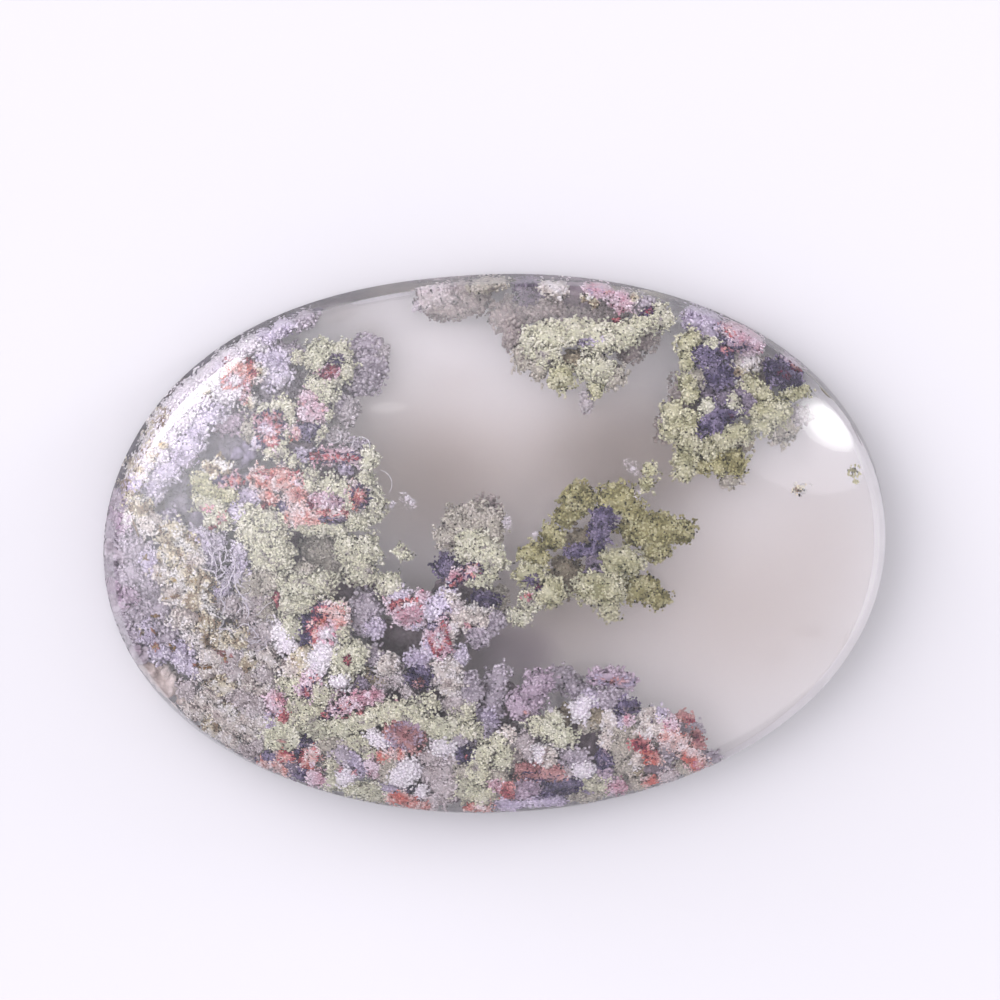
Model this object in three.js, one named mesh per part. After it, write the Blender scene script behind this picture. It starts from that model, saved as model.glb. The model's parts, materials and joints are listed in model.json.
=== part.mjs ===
// An oval cabochon of moss agate: one solid stone, ground and polished to a smooth dome over a flat back.
// Millimetres, +Z up. The stone lies on its flat back. The origin is the middle of that back,
// +X runs along the long axis of the oval and +Y along the short one.
import * as THREE from 'three';

// The oval at its widest, just above the bevel, and the height from the back to the top of the dome.
const LENGTH = 32;
const WIDTH = 22;
const HEIGHT = 6.2;

// A narrow bevel breaks the edge of the back, so that it doesn't chip.
const BEVEL_WIDTH = 0.45;
const BEVEL_HEIGHT = 0.35;

// The side rises from the bevel and leans in a little, up to the shoulder, where the dome starts.
const SHOULDER_HEIGHT = 2.1;
const SIDE_LEAN = THREE.MathUtils.degToRad(10);

// The dome falls from its top to the shoulder as (1 - t^FULLNESS)^ROUNDNESS, with t from 0 to 1.
// That lies between a half ellipse and the cap of a sphere.
const FULLNESS = 2.1;
const ROUNDNESS = 0.8;

// The oval is cut by hand: each of its corners stands out past an ellipse by this share of the radius,
// and the upper left one by more, and most towards the top.
const CORNER_SWELL = 0.012;
const UPPER_LEFT_SWELL = 0.0315;
const UPPER_LEFT_SKEW = 0.5;

const DOME_STEPS = 22;
const TURN_STEPS = 88;

const RADIUS = LENGTH / 2;
const SIDE_INSET = (SHOULDER_HEIGHT - BEVEL_HEIGHT) * Math.tan(SIDE_LEAN);

// The dome's outline from the shoulder up to the axis. The steps bunch up towards the shoulder,
// where the dome turns down most steeply.
function domeProfile() {
  const shoulderRadius = RADIUS - SIDE_INSET;
  const domeHeight = HEIGHT - SHOULDER_HEIGHT;
  const points = [];
  for (let step = 0; step <= DOME_STEPS; step += 1) {
    const t = Math.cos((step / DOME_STEPS) * (Math.PI / 2));
    const rise = step === DOME_STEPS ? 1 : (1 - t ** FULLNESS) ** ROUNDNESS;
    const radius = step === DOME_STEPS ? 0 : shoulderRadius * t;
    points.push(new THREE.Vector2(radius, SHOULDER_HEIGHT + domeHeight * rise));
  }
  return points;
}

// Half of the stone's cross section along its length: the flat back, the bevel, the side and the dome.
function crossSection() {
  return [
    new THREE.Vector2(0, 0),
    new THREE.Vector2(RADIUS - BEVEL_WIDTH, 0),
    new THREE.Vector2(RADIUS, BEVEL_HEIGHT),
    ...domeProfile(),
  ];
}

// How far the plan stands out past a circle at an angle, as a share of the radius. It is nought at both ends
// of both axes, which leaves the length and the width as they are.
function swell(angle) {
  const corner = Math.sin(2 * angle) ** 2;
  const isUpperLeft = angle > Math.PI / 2 && angle < Math.PI;
  if (isUpperLeft) {
    return UPPER_LEFT_SWELL * corner * (1 - UPPER_LEFT_SKEW * Math.cos(2 * angle));
  }
  return CORNER_SWELL * corner;
}

// Moves every vertex out from the axis by the swell at its angle.
function swellCorners(geometry) {
  const { position } = geometry.attributes;
  for (let index = 0; index < position.count; index += 1) {
    const x = position.getX(index);
    const y = position.getY(index);
    const share = 1 + swell(Math.atan2(y, x));
    position.setXY(index, x * share, y * share);
  }
}

// The half section turned once round the axis, stood up along +Z, swelled at its corners and drawn in
// to the oval's width.
function stoneGeometry() {
  const geometry = new THREE.LatheGeometry(crossSection(), TURN_STEPS);
  geometry.rotateX(Math.PI / 2);
  swellCorners(geometry);
  geometry.scale(1, WIDTH / LENGTH, 1);
  geometry.computeVertexNormals();
  return geometry;
}

const agate = new THREE.MeshStandardMaterial({ color: 0xc9bfc1, roughness: 0.08, metalness: 0 });

const cabochon = new THREE.Mesh(stoneGeometry(), agate);
cabochon.name = 'cabochon';

const stone = new THREE.Group();
stone.add(cabochon);

export default stone;
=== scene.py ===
# The moss agate cabochon: a clear, polished stone with mossy plumes grown inside it, under the dome. Lengths
# are in millimetres until a mesh is made, which turns them into metres. A positive turn is anticlockwise.
import json
import math

import bpy
import numpy as np
from mathutils import Matrix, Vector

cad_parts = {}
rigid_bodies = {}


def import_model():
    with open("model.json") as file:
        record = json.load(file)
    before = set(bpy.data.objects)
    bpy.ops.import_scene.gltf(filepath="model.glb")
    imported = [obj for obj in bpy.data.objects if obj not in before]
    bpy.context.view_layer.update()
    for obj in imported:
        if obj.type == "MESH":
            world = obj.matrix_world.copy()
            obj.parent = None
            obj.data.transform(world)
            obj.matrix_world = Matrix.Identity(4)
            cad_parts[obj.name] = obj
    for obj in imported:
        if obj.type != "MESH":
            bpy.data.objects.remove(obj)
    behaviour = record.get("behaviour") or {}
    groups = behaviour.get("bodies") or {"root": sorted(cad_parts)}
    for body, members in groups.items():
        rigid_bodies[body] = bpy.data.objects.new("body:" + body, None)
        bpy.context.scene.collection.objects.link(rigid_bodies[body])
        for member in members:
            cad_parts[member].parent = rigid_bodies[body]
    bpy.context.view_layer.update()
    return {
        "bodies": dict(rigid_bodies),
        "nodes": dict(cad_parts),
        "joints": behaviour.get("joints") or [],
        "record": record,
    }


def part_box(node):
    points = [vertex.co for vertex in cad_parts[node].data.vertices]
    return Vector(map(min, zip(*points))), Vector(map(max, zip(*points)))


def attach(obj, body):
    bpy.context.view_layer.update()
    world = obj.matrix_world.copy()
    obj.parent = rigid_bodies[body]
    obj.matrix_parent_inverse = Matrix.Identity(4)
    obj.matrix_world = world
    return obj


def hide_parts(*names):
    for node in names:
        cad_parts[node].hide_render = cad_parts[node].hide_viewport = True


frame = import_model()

MM = 0.001
TINY = 1e-6

# The stone's section, as it is cut. Its oval comes from the frame.
stone_low, stone_high = (np.array(corner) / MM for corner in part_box("cabochon"))
LENGTH, WIDTH, HEIGHT = stone_high - stone_low
RADIUS = LENGTH / 2
OVAL = LENGTH / WIDTH
BEVEL_WIDTH = 0.45
BEVEL_HEIGHT = 0.35
SHOULDER_HEIGHT = 2.1
SIDE_LEAN = math.radians(10)
FULLNESS = 2.1
ROUNDNESS = 0.8
SHOULDER_RADIUS = RADIUS - (SHOULDER_HEIGHT - BEVEL_HEIGHT) * math.tan(SIDE_LEAN)
DOME_HEIGHT = HEIGHT - SHOULDER_HEIGHT
# The oval's corners stand out past an ellipse by these shares of the radius.
CORNER_SWELL = 0.012
UPPER_LEFT_SWELL = 0.0315
UPPER_LEFT_SKEW = 0.5

# Chalcedony bends light this much. Its body lets this colour through best, and the density says how fast the
# rest is taken.
AGATE_IOR = 1.54
AGATE_COLOUR = (0.88, 0.83, 0.80)
AGATE_DENSITY = 8.0
POLISH_ROUGHNESS = 0.07

# The photograph: its size, the scale at the stone, and the pixel where the middle of the stone shows.
PHOTO_PIXELS = 1000
HALF_PHOTO = PHOTO_PIXELS / 2
PIXELS_PER_MM = 24.71
STONE_ACROSS, STONE_DOWN = 498.8, 545.5
AIM_HEIGHT = 1.0
CAMERA_DISTANCE = 300.0
CAMERA_LEAN = (-0.13, 0.15)
CAMERA_ROLL = math.radians(2.17)
SENSOR_WIDTH = 36.0
# The camera sees what lies between these distances, in metres.
SEEN_FROM, SEEN_TO = 0.01, 10.0


def unit(vectors):
    """Each vector divided by its length."""
    return vectors / np.linalg.norm(vectors, axis=-1, keepdims=True)


def camera_axes():
    """The camera's right, up and backward directions. Backward leans from straight up by the lean, up is the
    short axis of the stone laid into the picture, and both are then rolled."""
    back = unit(np.array([*CAMERA_LEAN, 1.0]))
    up = unit(np.array([0.0, 1.0, 0.0]) - back * back[1])
    right = np.cross(up, back)
    roll = math.atan2(up[0], right[0]) - CAMERA_ROLL
    return (
        math.cos(roll) * right + math.sin(roll) * up,
        math.cos(roll) * up - math.sin(roll) * right,
        back,
    )


RIGHT, UP, BACK = camera_axes()
CAMERA_AIM = (
    np.array([0.0, 0.0, AIM_HEIGHT])
    + RIGHT * (HALF_PHOTO - STONE_ACROSS) / PIXELS_PER_MM
    + UP * (STONE_DOWN - HALF_PHOTO) / PIXELS_PER_MM
)
CAMERA_PLACE = CAMERA_AIM + BACK * CAMERA_DISTANCE


def placed(right, up, back, place):
    """The matrix of an object with these axes, at a place in millimetres."""
    columns = np.stack([right, up, back, place * MM], axis=1)
    return Matrix([*columns.tolist(), (0.0, 0.0, 0.0, 1.0)])


def make_camera():
    """The camera looks down on the dome, a little from the upper left, as in the photograph."""
    data = bpy.data.cameras.new("camera")
    data.sensor_width = SENSOR_WIDTH
    data.lens = SENSOR_WIDTH * PIXELS_PER_MM * CAMERA_DISTANCE / PHOTO_PIXELS
    data.clip_start, data.clip_end = SEEN_FROM, SEEN_TO
    camera = bpy.data.objects.new("camera", data)
    bpy.context.collection.objects.link(camera)
    camera.matrix_world = placed(RIGHT, UP, BACK, CAMERA_PLACE)
    bpy.context.scene.camera = camera


# The stone's own surface

# The dome's slope is worked out up to this share of the way to the shoulder, where it would be endless.
STEEPEST = 0.9985
# Past the shoulder the height falls by this many times the way.
PAST_SLOPE = 6
# A ray is searched for the dome from this far over the top to this far under the back, by so many halvings.
SEARCH_OVER, SEARCH_UNDER = 0.5, 3.0
HALVINGS = 40
# Points are pressed in under the dome where they lie over this share of the shoulder's height, in so many
# rounds, by this much at most in each, and in from the side to this many times their clearance.
PRESSED_FROM = 0.6
PRESS_ROUNDS = 5
PRESS_MOST = 0.5
SIDE_CLEARANCE = 1.5


def swelled(x, y):
    """How far the plan reaches in the direction of each point, as a share of the ellipse: 1 + swell * sin(2
    a) ^ 2. In the upper left corner the swell is larger, and most towards the top."""
    angle = np.arctan2(y * OVAL, x)
    upper_left = (np.asarray(x) < 0) & (np.asarray(y) > 0)
    fuller = UPPER_LEFT_SWELL * (1 - UPPER_LEFT_SKEW * np.cos(2 * angle))
    return 1 + np.where(upper_left, fuller, CORNER_SWELL) * np.sin(2 * angle) ** 2


def plan_ring(radius, angle):
    """Places x and y of the plan: x = r cos a, y = r sin a / oval, both times the swell."""
    x, y = radius * np.cos(angle), radius * np.sin(angle) / OVAL
    swell = swelled(x, y)
    return x * swell, y * swell


def dome_height(x, y):
    """The dome's height over the floor: shoulder + rise * (1 - t ^ fullness) ^ roundness, where t goes from
    0 on the axis to 1 at the shoulder. Past the shoulder it falls away steeply."""
    t = np.hypot(x, y * OVAL) / (SHOULDER_RADIUS * swelled(x, y))
    inside = np.minimum(t, 1.0)
    past = np.maximum(t - 1.0, 0.0)
    rise = DOME_HEIGHT * (1 - inside**FULLNESS) ** ROUNDNESS
    return SHOULDER_HEIGHT + rise - past * SHOULDER_RADIUS * PAST_SLOPE


def dome_normal(x, y):
    """The outward direction of the dome, from the slope of its height formula, in which the swell hardly
    changes."""
    reach = SHOULDER_RADIUS * swelled(x, y)
    t = np.clip(np.hypot(x, y * OVAL) / reach, TINY, STEEPEST)
    drop = DOME_HEIGHT * ROUNDNESS * FULLNESS * t ** (FULLNESS - 1) * (1 - t**FULLNESS) ** (ROUNDNESS - 1)
    share = drop / (t * reach**2)
    return unit(np.stack([share * x, share * y * OVAL**2, np.ones_like(t)], axis=-1))


def pixel_rays(across, down):
    """The direction from the camera through each pixel."""
    focal = PIXELS_PER_MM * CAMERA_DISTANCE
    sideways = (np.asarray(across, float) - HALF_PHOTO)[..., None] * RIGHT
    upwards = (HALF_PHOTO - np.asarray(down, float))[..., None] * UP
    return unit(sideways + upwards - BACK * focal)


def on_dome(across, down):
    """Where each pixel's ray meets the dome, found by halving the stretch of the ray over the stone."""
    rays = pixel_rays(across, down)
    near = (HEIGHT + SEARCH_OVER - CAMERA_PLACE[2]) / rays[..., 2]
    far = (-SEARCH_UNDER - CAMERA_PLACE[2]) / rays[..., 2]
    for _ in range(HALVINGS):
        middle = (near + far) / 2
        point = CAMERA_PLACE + rays * middle[..., None]
        over = point[..., 2] > dome_height(point[..., 0], point[..., 1])
        near = np.where(over, middle, near)
        far = np.where(over, far, middle)
    return CAMERA_PLACE + rays * near[..., None], rays


def bent(rays, normals, ratio):
    """Rays that go in through a surface, bent by the law of refraction: the part along the surface shrinks
    by the ratio of the outer to the inner index, and the part along the normal makes the length one
    again."""
    facing = -(rays * normals).sum(-1, keepdims=True)
    root = np.sqrt(np.maximum(1 - ratio**2 * (1 - facing**2), 0))
    return ratio * rays + (ratio * facing - root) * normals


def under_dome(across, down, depth):
    """The point that the camera sees at a pixel, that many millimetres in from the dome along the bent
    ray."""
    point, rays = on_dome(across, down)
    inward = bent(rays, dome_normal(point[..., 0], point[..., 1]), 1 / AGATE_IOR)
    return point + inward * np.asarray(depth, float)[..., None]


def pressed_in(points, clearance):
    """Points too near the surface, or outside it, are moved in along its normal until they keep the
    clearance, as if the stone had been cut and polished there."""
    points = points.copy()
    for _ in range(PRESS_ROUNDS):
        x, y, z = points.T
        normal = dome_normal(x, y)
        over = (z - dome_height(x, y)) * normal[:, 2] + clearance
        out = (over > 0) & (z > SHOULDER_HEIGHT * PRESSED_FROM)
        points[out] -= normal[out] * np.minimum(over[out], PRESS_MOST)[:, None]
        x, y, z = points.T
        side = RADIUS - np.clip(z - BEVEL_HEIGHT, 0, None) * math.tan(SIDE_LEAN)
        bevel = np.clip(BEVEL_HEIGHT - z, 0, None) * BEVEL_WIDTH / BEVEL_HEIGHT
        wall = side - bevel - clearance * SIDE_CLEARANCE
        shrink = np.minimum(1.0, wall * swelled(x, y) / np.maximum(np.hypot(x, y * OVAL), TINY))
        points[:, :2] *= shrink[:, None]
        points[:, 2] = np.clip(z, clearance, None)
    return points


# Meshes

def mesh_piece(name, vertices, faces, material, smooth=True, tint=None):
    """A new object at the origin whose mesh holds these vertices, in millimetres, and faces of one size."""
    mesh = bpy.data.meshes.new(name)
    corners = faces.shape[1]
    mesh.vertices.add(len(vertices))
    mesh.vertices.foreach_set("co", np.ascontiguousarray(vertices * MM, np.float32).ravel())
    mesh.loops.add(faces.size)
    mesh.loops.foreach_set("vertex_index", np.ascontiguousarray(faces, np.int32).ravel())
    mesh.polygons.add(len(faces))
    mesh.polygons.foreach_set("loop_start", np.arange(0, faces.size, corners, dtype=np.int32))
    mesh.update(calc_edges=True)
    mesh.validate()
    if smooth:
        mesh.shade_smooth()
    if tint is not None:
        layer = mesh.color_attributes.new("tint", "FLOAT_COLOR", "POINT")
        colours = np.ones((len(vertices), 4), np.float32)
        colours[:, :3] = tint
        layer.data.foreach_set("color", colours.ravel())
    mesh.materials.append(material)
    piece = bpy.data.objects.new(name, mesh)
    bpy.context.collection.objects.link(piece)
    return piece


def tinted_piece(name, parts, shade, material):
    """One object made of several parts, each with its vertices, its tints, which the shade multiplies, and
    faces."""
    vertices, tints, faces = zip(*parts)
    starts = np.cumsum([0, *map(len, vertices[:-1])])
    shifted = [part + start for part, start in zip(faces, starts)]
    return mesh_piece(name, np.concatenate(vertices), np.concatenate(shifted), material,
                      tint=np.concatenate(tints) * shade)


def grid_faces(rows, columns):
    """Triangles between the rows of a grid that closes on itself along each row."""
    row = np.arange(rows - 1)[:, None] * columns
    here = np.arange(columns)[None, :]
    after = (here + 1) % columns
    a, b, c, d = row + here, row + after, row + columns + after, row + columns + here
    return np.concatenate([np.stack([a, b, c], -1).reshape(-1, 3), np.stack([a, c, d], -1).reshape(-1, 3)])


def fan_faces(pole, ring, outward):
    """Triangles from a pole to a closed ring of vertices."""
    after = np.roll(ring, -1)
    poles = np.full(len(ring), pole)
    return np.stack([poles, ring, after] if outward else [poles, after, ring], -1)


def closed_rings(rings, first_pole, last_pole):
    """The vertices and faces of a closed form: rings of points, joined by a grid, with a fan from a pole to
    the first ring and to the last one."""
    count, columns = rings.shape[:2]
    points = rings.reshape(-1, 3)
    faces = np.concatenate([
        grid_faces(count, columns),
        fan_faces(len(points), np.arange(columns), outward=False),
        fan_faces(len(points) + 1, np.arange(len(points) - columns, len(points)), outward=True),
    ])
    return np.concatenate([points, [first_pole, last_pole]]), faces


def rounded(corner, before, after, radius, steps=7):
    """Points of a small round between two straight stretches of a profile, as a quadratic curve whose
    control point is the corner."""
    start = corner + unit(before - corner) * radius
    end = corner + unit(after - corner) * radius
    t = np.linspace(0, 1, steps)[:, None]
    return start * (1 - t) ** 2 + corner * 2 * t * (1 - t) + end * t**2


EDGE_ROUND = 0.12
TURN_STEPS = 320
FLAT_STEPS = 23
# The flat's last ring stays this far in from its edge. The dome's rings lie at the cosines of angles from
# this share of a half turn up to a quarter turn.
FLAT_MARGIN = 0.4
DOME_START = 0.05
DOME_STEPS = 130


def stone_profile():
    """Half of the section along the length, from the middle of the back to the top: flat, bevel, side, dome.
    The dome's steps bunch up towards the shoulder, and each edge is broken by a small round."""
    dome_t = np.cos(np.linspace(DOME_START, 0.5, DOME_STEPS) * math.pi)
    dome = np.stack([SHOULDER_RADIUS * dome_t, dome_height(SHOULDER_RADIUS * dome_t, 0.0)], -1)
    back_edge = np.array([RADIUS - BEVEL_WIDTH, 0.0])
    girdle = np.array([RADIUS, BEVEL_HEIGHT])
    shoulder = np.array([SHOULDER_RADIUS, SHOULDER_HEIGHT])
    flat_radius = np.linspace(0, back_edge[0] - FLAT_MARGIN, FLAT_STEPS + 1)[1:]
    flat = np.stack([flat_radius, np.zeros(FLAT_STEPS)], -1)
    return np.concatenate([
        flat,
        rounded(back_edge, flat[-1], girdle, EDGE_ROUND),
        rounded(girdle, back_edge, shoulder, EDGE_ROUND),
        rounded(shoulder, girdle, dome[0], EDGE_ROUND),
        dome[:-1],
    ])


def stone_surface():
    """The half section turned round the axis in the shape of the plan."""
    profile = stone_profile()
    angle = np.linspace(0, 2 * math.pi, TURN_STEPS, endpoint=False)
    radius, height = profile[:, :1], profile[:, 1:]
    x, y = plan_ring(radius, angle)
    rings = np.stack([x, y, np.broadcast_to(height, x.shape)], -1)
    return closed_rings(rings, [0, 0, 0], [0, 0, HEIGHT])


# Materials

# The colour of stone that sends some light back. It also tints the light at each face, so it is nearly
# white.
MILK_COLOUR = (0.985, 0.97, 0.965)
# The crumbs' mottle: how fine it is, and how it makes their tints darker or lighter.
MOTTLE_SCALE, MOTTLE_DETAIL = 9000.0, 3.0
MOTTLE_RANGE = {"From Min": 0.3, "From Max": 0.7, "To Min": 0.82, "To Max": 1.12}
MOSS_ROUGHNESS = 0.85
MOSS_SHINE = 0.1
PAPER = (250, 248, 252)
PAPER_ROUGHNESS = 0.9


def new_material(name):
    """An empty node material and its shader."""
    material = bpy.data.materials.new(name)
    material.use_nodes = True
    nodes = material.node_tree.nodes
    return material, nodes, material.node_tree.links, nodes["Principled BSDF"]


def linear(colour):
    """An sRGB colour of 0 to 255 as the linear values that a shader takes."""
    share = np.asarray(colour, float) / 255
    return np.where(share <= 0.04045, share / 12.92, ((share + 0.055) / 1.055) ** 2.4)


def clear_stone(name, colour, density, roughness, index, milk=0.0):
    """See-through stone: it bends light by the index and takes light of other colours over its length. A
    milky one also sends that share of the light back from its surface, and has no gloss."""
    material, nodes, links, shader = new_material(name)
    shader.inputs["Base Color"].default_value = (*MILK_COLOUR, 1) if milk else (1, 1, 1, 1)
    shader.inputs["Transmission Weight"].default_value = 1.0 - milk
    shader.inputs["Specular IOR Level"].default_value = 0.0 if milk else 0.5
    shader.inputs["Roughness"].default_value = roughness
    shader.inputs["IOR"].default_value = index
    body = nodes.new("ShaderNodeVolumeAbsorption")
    body.inputs["Color"].default_value = (*colour, 1)
    body.inputs["Density"].default_value = density
    links.new(body.outputs["Volume"], nodes["Material Output"].inputs["Volume"])
    return material


def moss_material():
    """Matt mineral crumbs, each in its tint, which holds its colour and its painted light and shade, with a
    finer mottle.
    """
    material, nodes, links, shader = new_material("moss")
    tint = nodes.new("ShaderNodeAttribute")
    tint.attribute_name = "tint"
    place = nodes.new("ShaderNodeTexCoord")
    mottle = nodes.new("ShaderNodeTexNoise")
    mottle.inputs["Scale"].default_value = MOTTLE_SCALE
    mottle.inputs["Detail"].default_value = MOTTLE_DETAIL
    links.new(place.outputs["Object"], mottle.inputs["Vector"])
    shade = nodes.new("ShaderNodeMapRange")
    for socket, value in MOTTLE_RANGE.items():
        shade.inputs[socket].default_value = value
    links.new(mottle.outputs["Fac"], shade.inputs["Value"])
    mix = nodes.new("ShaderNodeVectorMath")
    mix.operation = "SCALE"
    links.new(tint.outputs["Color"], mix.inputs["Vector"])
    links.new(shade.outputs["Result"], mix.inputs["Scale"])
    links.new(mix.outputs["Vector"], shader.inputs["Base Color"])
    shader.inputs["Roughness"].default_value = MOSS_ROUGHNESS
    shader.inputs["Specular IOR Level"].default_value = MOSS_SHINE
    return material


def paper(name, shade):
    """Pale, faintly lilac paper, made darker or lighter by its shade."""
    material, nodes, links, shader = new_material(name)
    shader.inputs["Base Color"].default_value = (*linear(PAPER) * shade, 1)
    shader.inputs["Roughness"].default_value = PAPER_ROUGHNESS
    shader.inputs["Specular IOR Level"].default_value = 0.0
    return material


# Moss

# The tones of each kind of moss as they show in the photograph, light, middle and dark, then the radius of
# its crumbs in millimetres, the share of them that are dark pits, which are painted shade of small hollows,
# and how much its tone swings in patches. The light and the dark tone are partly painted light on bulges and
# painted shade in creases.
KINDS = {
    "sage": ((242, 243, 218), (222, 225, 188), (178, 170, 170), 0.060, 0.13, 0.14),
    "pale sage": ((236, 238, 214), (216, 220, 186), (180, 178, 160), 0.062, 0.09, 0.14),
    "grey sage": ((214, 208, 194), (188, 184, 166), (146, 138, 134), 0.066, 0.08, 0.15),
    "olive": ((206, 203, 152), (172, 167, 112), (106, 102, 58), 0.062, 0.17, 0.20),
    "leaf": ((228, 228, 192), (203, 203, 158), (144, 144, 102), 0.060, 0.14, 0.18),
    "umber": ((180, 170, 142), (148, 138, 116), (104, 94, 78), 0.070, 0.12, 0.15),
    "straw": ((255, 252, 244), (246, 237, 198), (146, 126, 102), 0.060, 0.20, 0.42),
    "cream": ((253, 249, 246), (243, 236, 222), (186, 172, 166), 0.064, 0.07, 0.25),
    "bone": ((230, 222, 222), (210, 200, 200), (180, 168, 166), 0.070, 0.05, 0.20),
    "cloud": ((255, 253, 255), (251, 247, 252), (236, 231, 242), 0.075, 0.00, 0.10),
    "lilac": ((242, 236, 250), (224, 215, 238), (186, 175, 204), 0.072, 0.05, 0.20),
    "lavender": ((222, 213, 232), (196, 186, 209), (156, 145, 172), 0.078, 0.05, 0.20),
    "ash": ((202, 194, 204), (180, 171, 182), (150, 141, 154), 0.084, 0.02, 0.15),
    "mauve": ((206, 188, 204), (184, 164, 182), (152, 132, 152), 0.078, 0.05, 0.15),
    "dusk": ((138, 126, 134), (118, 106, 114), (92, 81, 88), 0.130, 0.00, 0.28),
    "haze": ((168, 160, 182), (136, 128, 152), (102, 94, 120), 0.130, 0.00, 0.28),
    "taupe": ((186, 176, 171), (164, 154, 150), (132, 121, 119), 0.078, 0.03, 0.24),
    "ghost": ((206, 200, 202), (195, 188, 190), (181, 173, 177), 0.090, 0.00, 0.10),
    "salmon": ((254, 238, 236), (243, 198, 188), (214, 112, 100), 0.058, 0.10, 0.34),
    "rose": ((246, 228, 238), (228, 194, 206), (204, 136, 152), 0.060, 0.10, 0.25),
    "blood": ((238, 168, 164), (208, 112, 114), (140, 54, 74), 0.058, 0.12, 0.28),
    "maroon": ((150, 70, 88), (104, 38, 62), (66, 24, 48), 0.056, 0.10, 0.20),
    "brick": ((212, 162, 158), (186, 130, 128), (148, 94, 98), 0.064, 0.08, 0.22),
    "violet": ((138, 128, 158), (80, 72, 104), (36, 30, 58), 0.058, 0.20, 0.30),
    "slate": ((156, 146, 164), (120, 110, 128), (84, 74, 94), 0.070, 0.10, 0.20),
    "speck": ((238, 234, 238), (224, 219, 224), (202, 197, 204), 0.034, 0.00, 0.00),
    "mist": ((200, 191, 200), (168, 157, 166), (124, 112, 122), 0.130, 0.00, 0.34),
    "tan": ((204, 192, 184), (182, 169, 160), (156, 142, 134), 0.130, 0.00, 0.30),
    "ochre": ((176, 148, 82), (140, 108, 58), (94, 66, 46), 0.056, 0.10, 0.20),
}
KIND_NAMES = list(KINDS)
# The kinds that a heart passes through from its white middle to its dark rim.
HEART_SCALE = ("cloud", "rose", "salmon", "blood", "violet", "slate")
KIND_RADIUS, KIND_PITS, KIND_SWING = np.array([kind[3:] for kind in KINDS.values()]).T

# In clear stone much of what a surface sends up is mirrored back down under the polish, so that it looks
# darker than it does in air. These two numbers of that balance were set by comparing renders to the
# photograph.
SENT_OUT = 0.66
MIRRORED_BACK = 0.36
BRIGHTEST = 0.96


def inside_stone(colour):
    """The linear colour that a surface inside the stone must have to look like the given sRGB colour, from
    seen = out * own / (1 - mirrored * own)."""
    seen = linear(colour)
    return np.minimum(seen / (SENT_OUT + MIRRORED_BACK * seen), BRIGHTEST)


# The photograph is a little pinker than the tones above, which were read from it.
PINKER = np.array([1.03, 0.985, 1.03])
KIND_TONES = np.array([[inside_stone(tone) * PINKER for tone in kind[:3]] for kind in KINDS.values()])


def waves(seed, longest, shortest, count=18):
    """The wave vectors and phases of a smooth random field with wavelengths between the two lengths."""
    chance = np.random.default_rng(seed)
    length = chance.uniform(shortest, longest, (count, 1))
    return unit(chance.normal(size=(count, 3))) * 2 * math.pi / length, chance.uniform(0, 2 * math.pi, count)


def field(points, wave_set):
    """A sum of plane waves, sin(k . p + phase), scaled to a spread of one."""
    vectors, phases = wave_set
    return np.sin(points @ vectors.T + phases).sum(-1) * math.sqrt(2 / len(phases))


BULGES = waves(3, longest=1.05, shortest=0.50)
FLORETS = waves(6, longest=0.46, shortest=0.28)
FRINGES = waves(4, longest=0.42, shortest=0.22)
PATCHES = waves(5, longest=1.2, shortest=0.35)


# How far the directions of crumbs are scattered from an even spread.
SCATTER = 0.10


def scattered_directions(count, chance):
    """Directions spread evenly over a ball, by the golden angle, turned at random and scattered a little."""
    step = np.arange(count) + 0.5
    height = 1 - 2 * step / count
    turn = step * math.pi * (3 - math.sqrt(5))
    flat = np.sqrt(1 - height**2)
    even = np.stack([flat * np.cos(turn), flat * np.sin(turn), height], -1)
    axes, _ = np.linalg.qr(chance.normal(size=(3, 3)))
    return unit(even @ axes + chance.normal(scale=SCATTER, size=even.shape))


# A lobe is as deep as this plus this share of its smaller half width. Part of that depth may stand above the
# depth in its row, where the dome cuts it off.
LEAST_DEPTH = 0.14
DEPTH_SHARE = 0.62
CUT_SHARE = 0.40


def lobe_frames(rows):
    """Each lobe's middle, half axes and turn, in millimetres across, up and towards the camera."""
    table = np.array([row[:6] for row in rows], float)
    half = table[:, 2:4] / PIXELS_PER_MM
    thick = LEAST_DEPTH + DEPTH_SHARE * half.min(axis=1)
    middle = np.stack([
        (table[:, 0] - HALF_PHOTO) / PIXELS_PER_MM,
        (HALF_PHOTO - table[:, 1]) / PIXELS_PER_MM,
        -(table[:, 5] + thick * (1 - CUT_SHARE)),
    ], -1)
    turn = np.radians(table[:, 4])
    long_axis = np.stack([np.cos(turn), np.sin(turn), np.zeros(len(turn))], -1)
    short_axis = np.stack([-np.sin(turn), np.cos(turn), np.zeros(len(turn))], -1)
    near_axis = np.broadcast_to([0.0, 0.0, 1.0], long_axis.shape)
    return middle, np.column_stack([half, thick]), np.stack([long_axis, short_axis, near_axis], 1)


def pixels_of(points):
    """The pixels across and down of points in millimetres across and up from the middle of the
    photograph."""
    return points[:, 0] * PIXELS_PER_MM + HALF_PHOTO, HALF_PHOTO - points[:, 1] * PIXELS_PER_MM


def into_stone(points, clearance):
    """View points, in millimetres across, up and towards the camera from the dome, as places in the
    stone."""
    across, down = pixels_of(points)
    depth = np.maximum(-points[:, 2], clearance)
    return pressed_in(under_dome(across, down, depth), clearance)


AREA_POWER = 1.6


def skin_area(half):
    """About the area of an ellipsoid: a ball's, with the radius squared made the power mean of a b, a c, b
    c."""
    a, b, c = half
    mean = ((a * b) ** AREA_POWER + (a * c) ** AREA_POWER + (b * c) ** AREA_POWER) / 3
    return 4 * math.pi * mean ** (1 / AREA_POWER)


# The skin bulges out by this much between its creases, coarse and fine, less on small lobes. Both fields
# count up to a highest value, and their mean rise is taken off. How far a crumb stands out is mixed from the
# two in these parts.
BULGE, FLORET = 0.22, 0.13
BULGE_MOST, FLORET_MOST = 1.6, 1.3
BULGE_PART, FLORET_PART = 0.45, 0.55
MEAN_RISE = 0.4
SMALL_LOBE = 3


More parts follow.
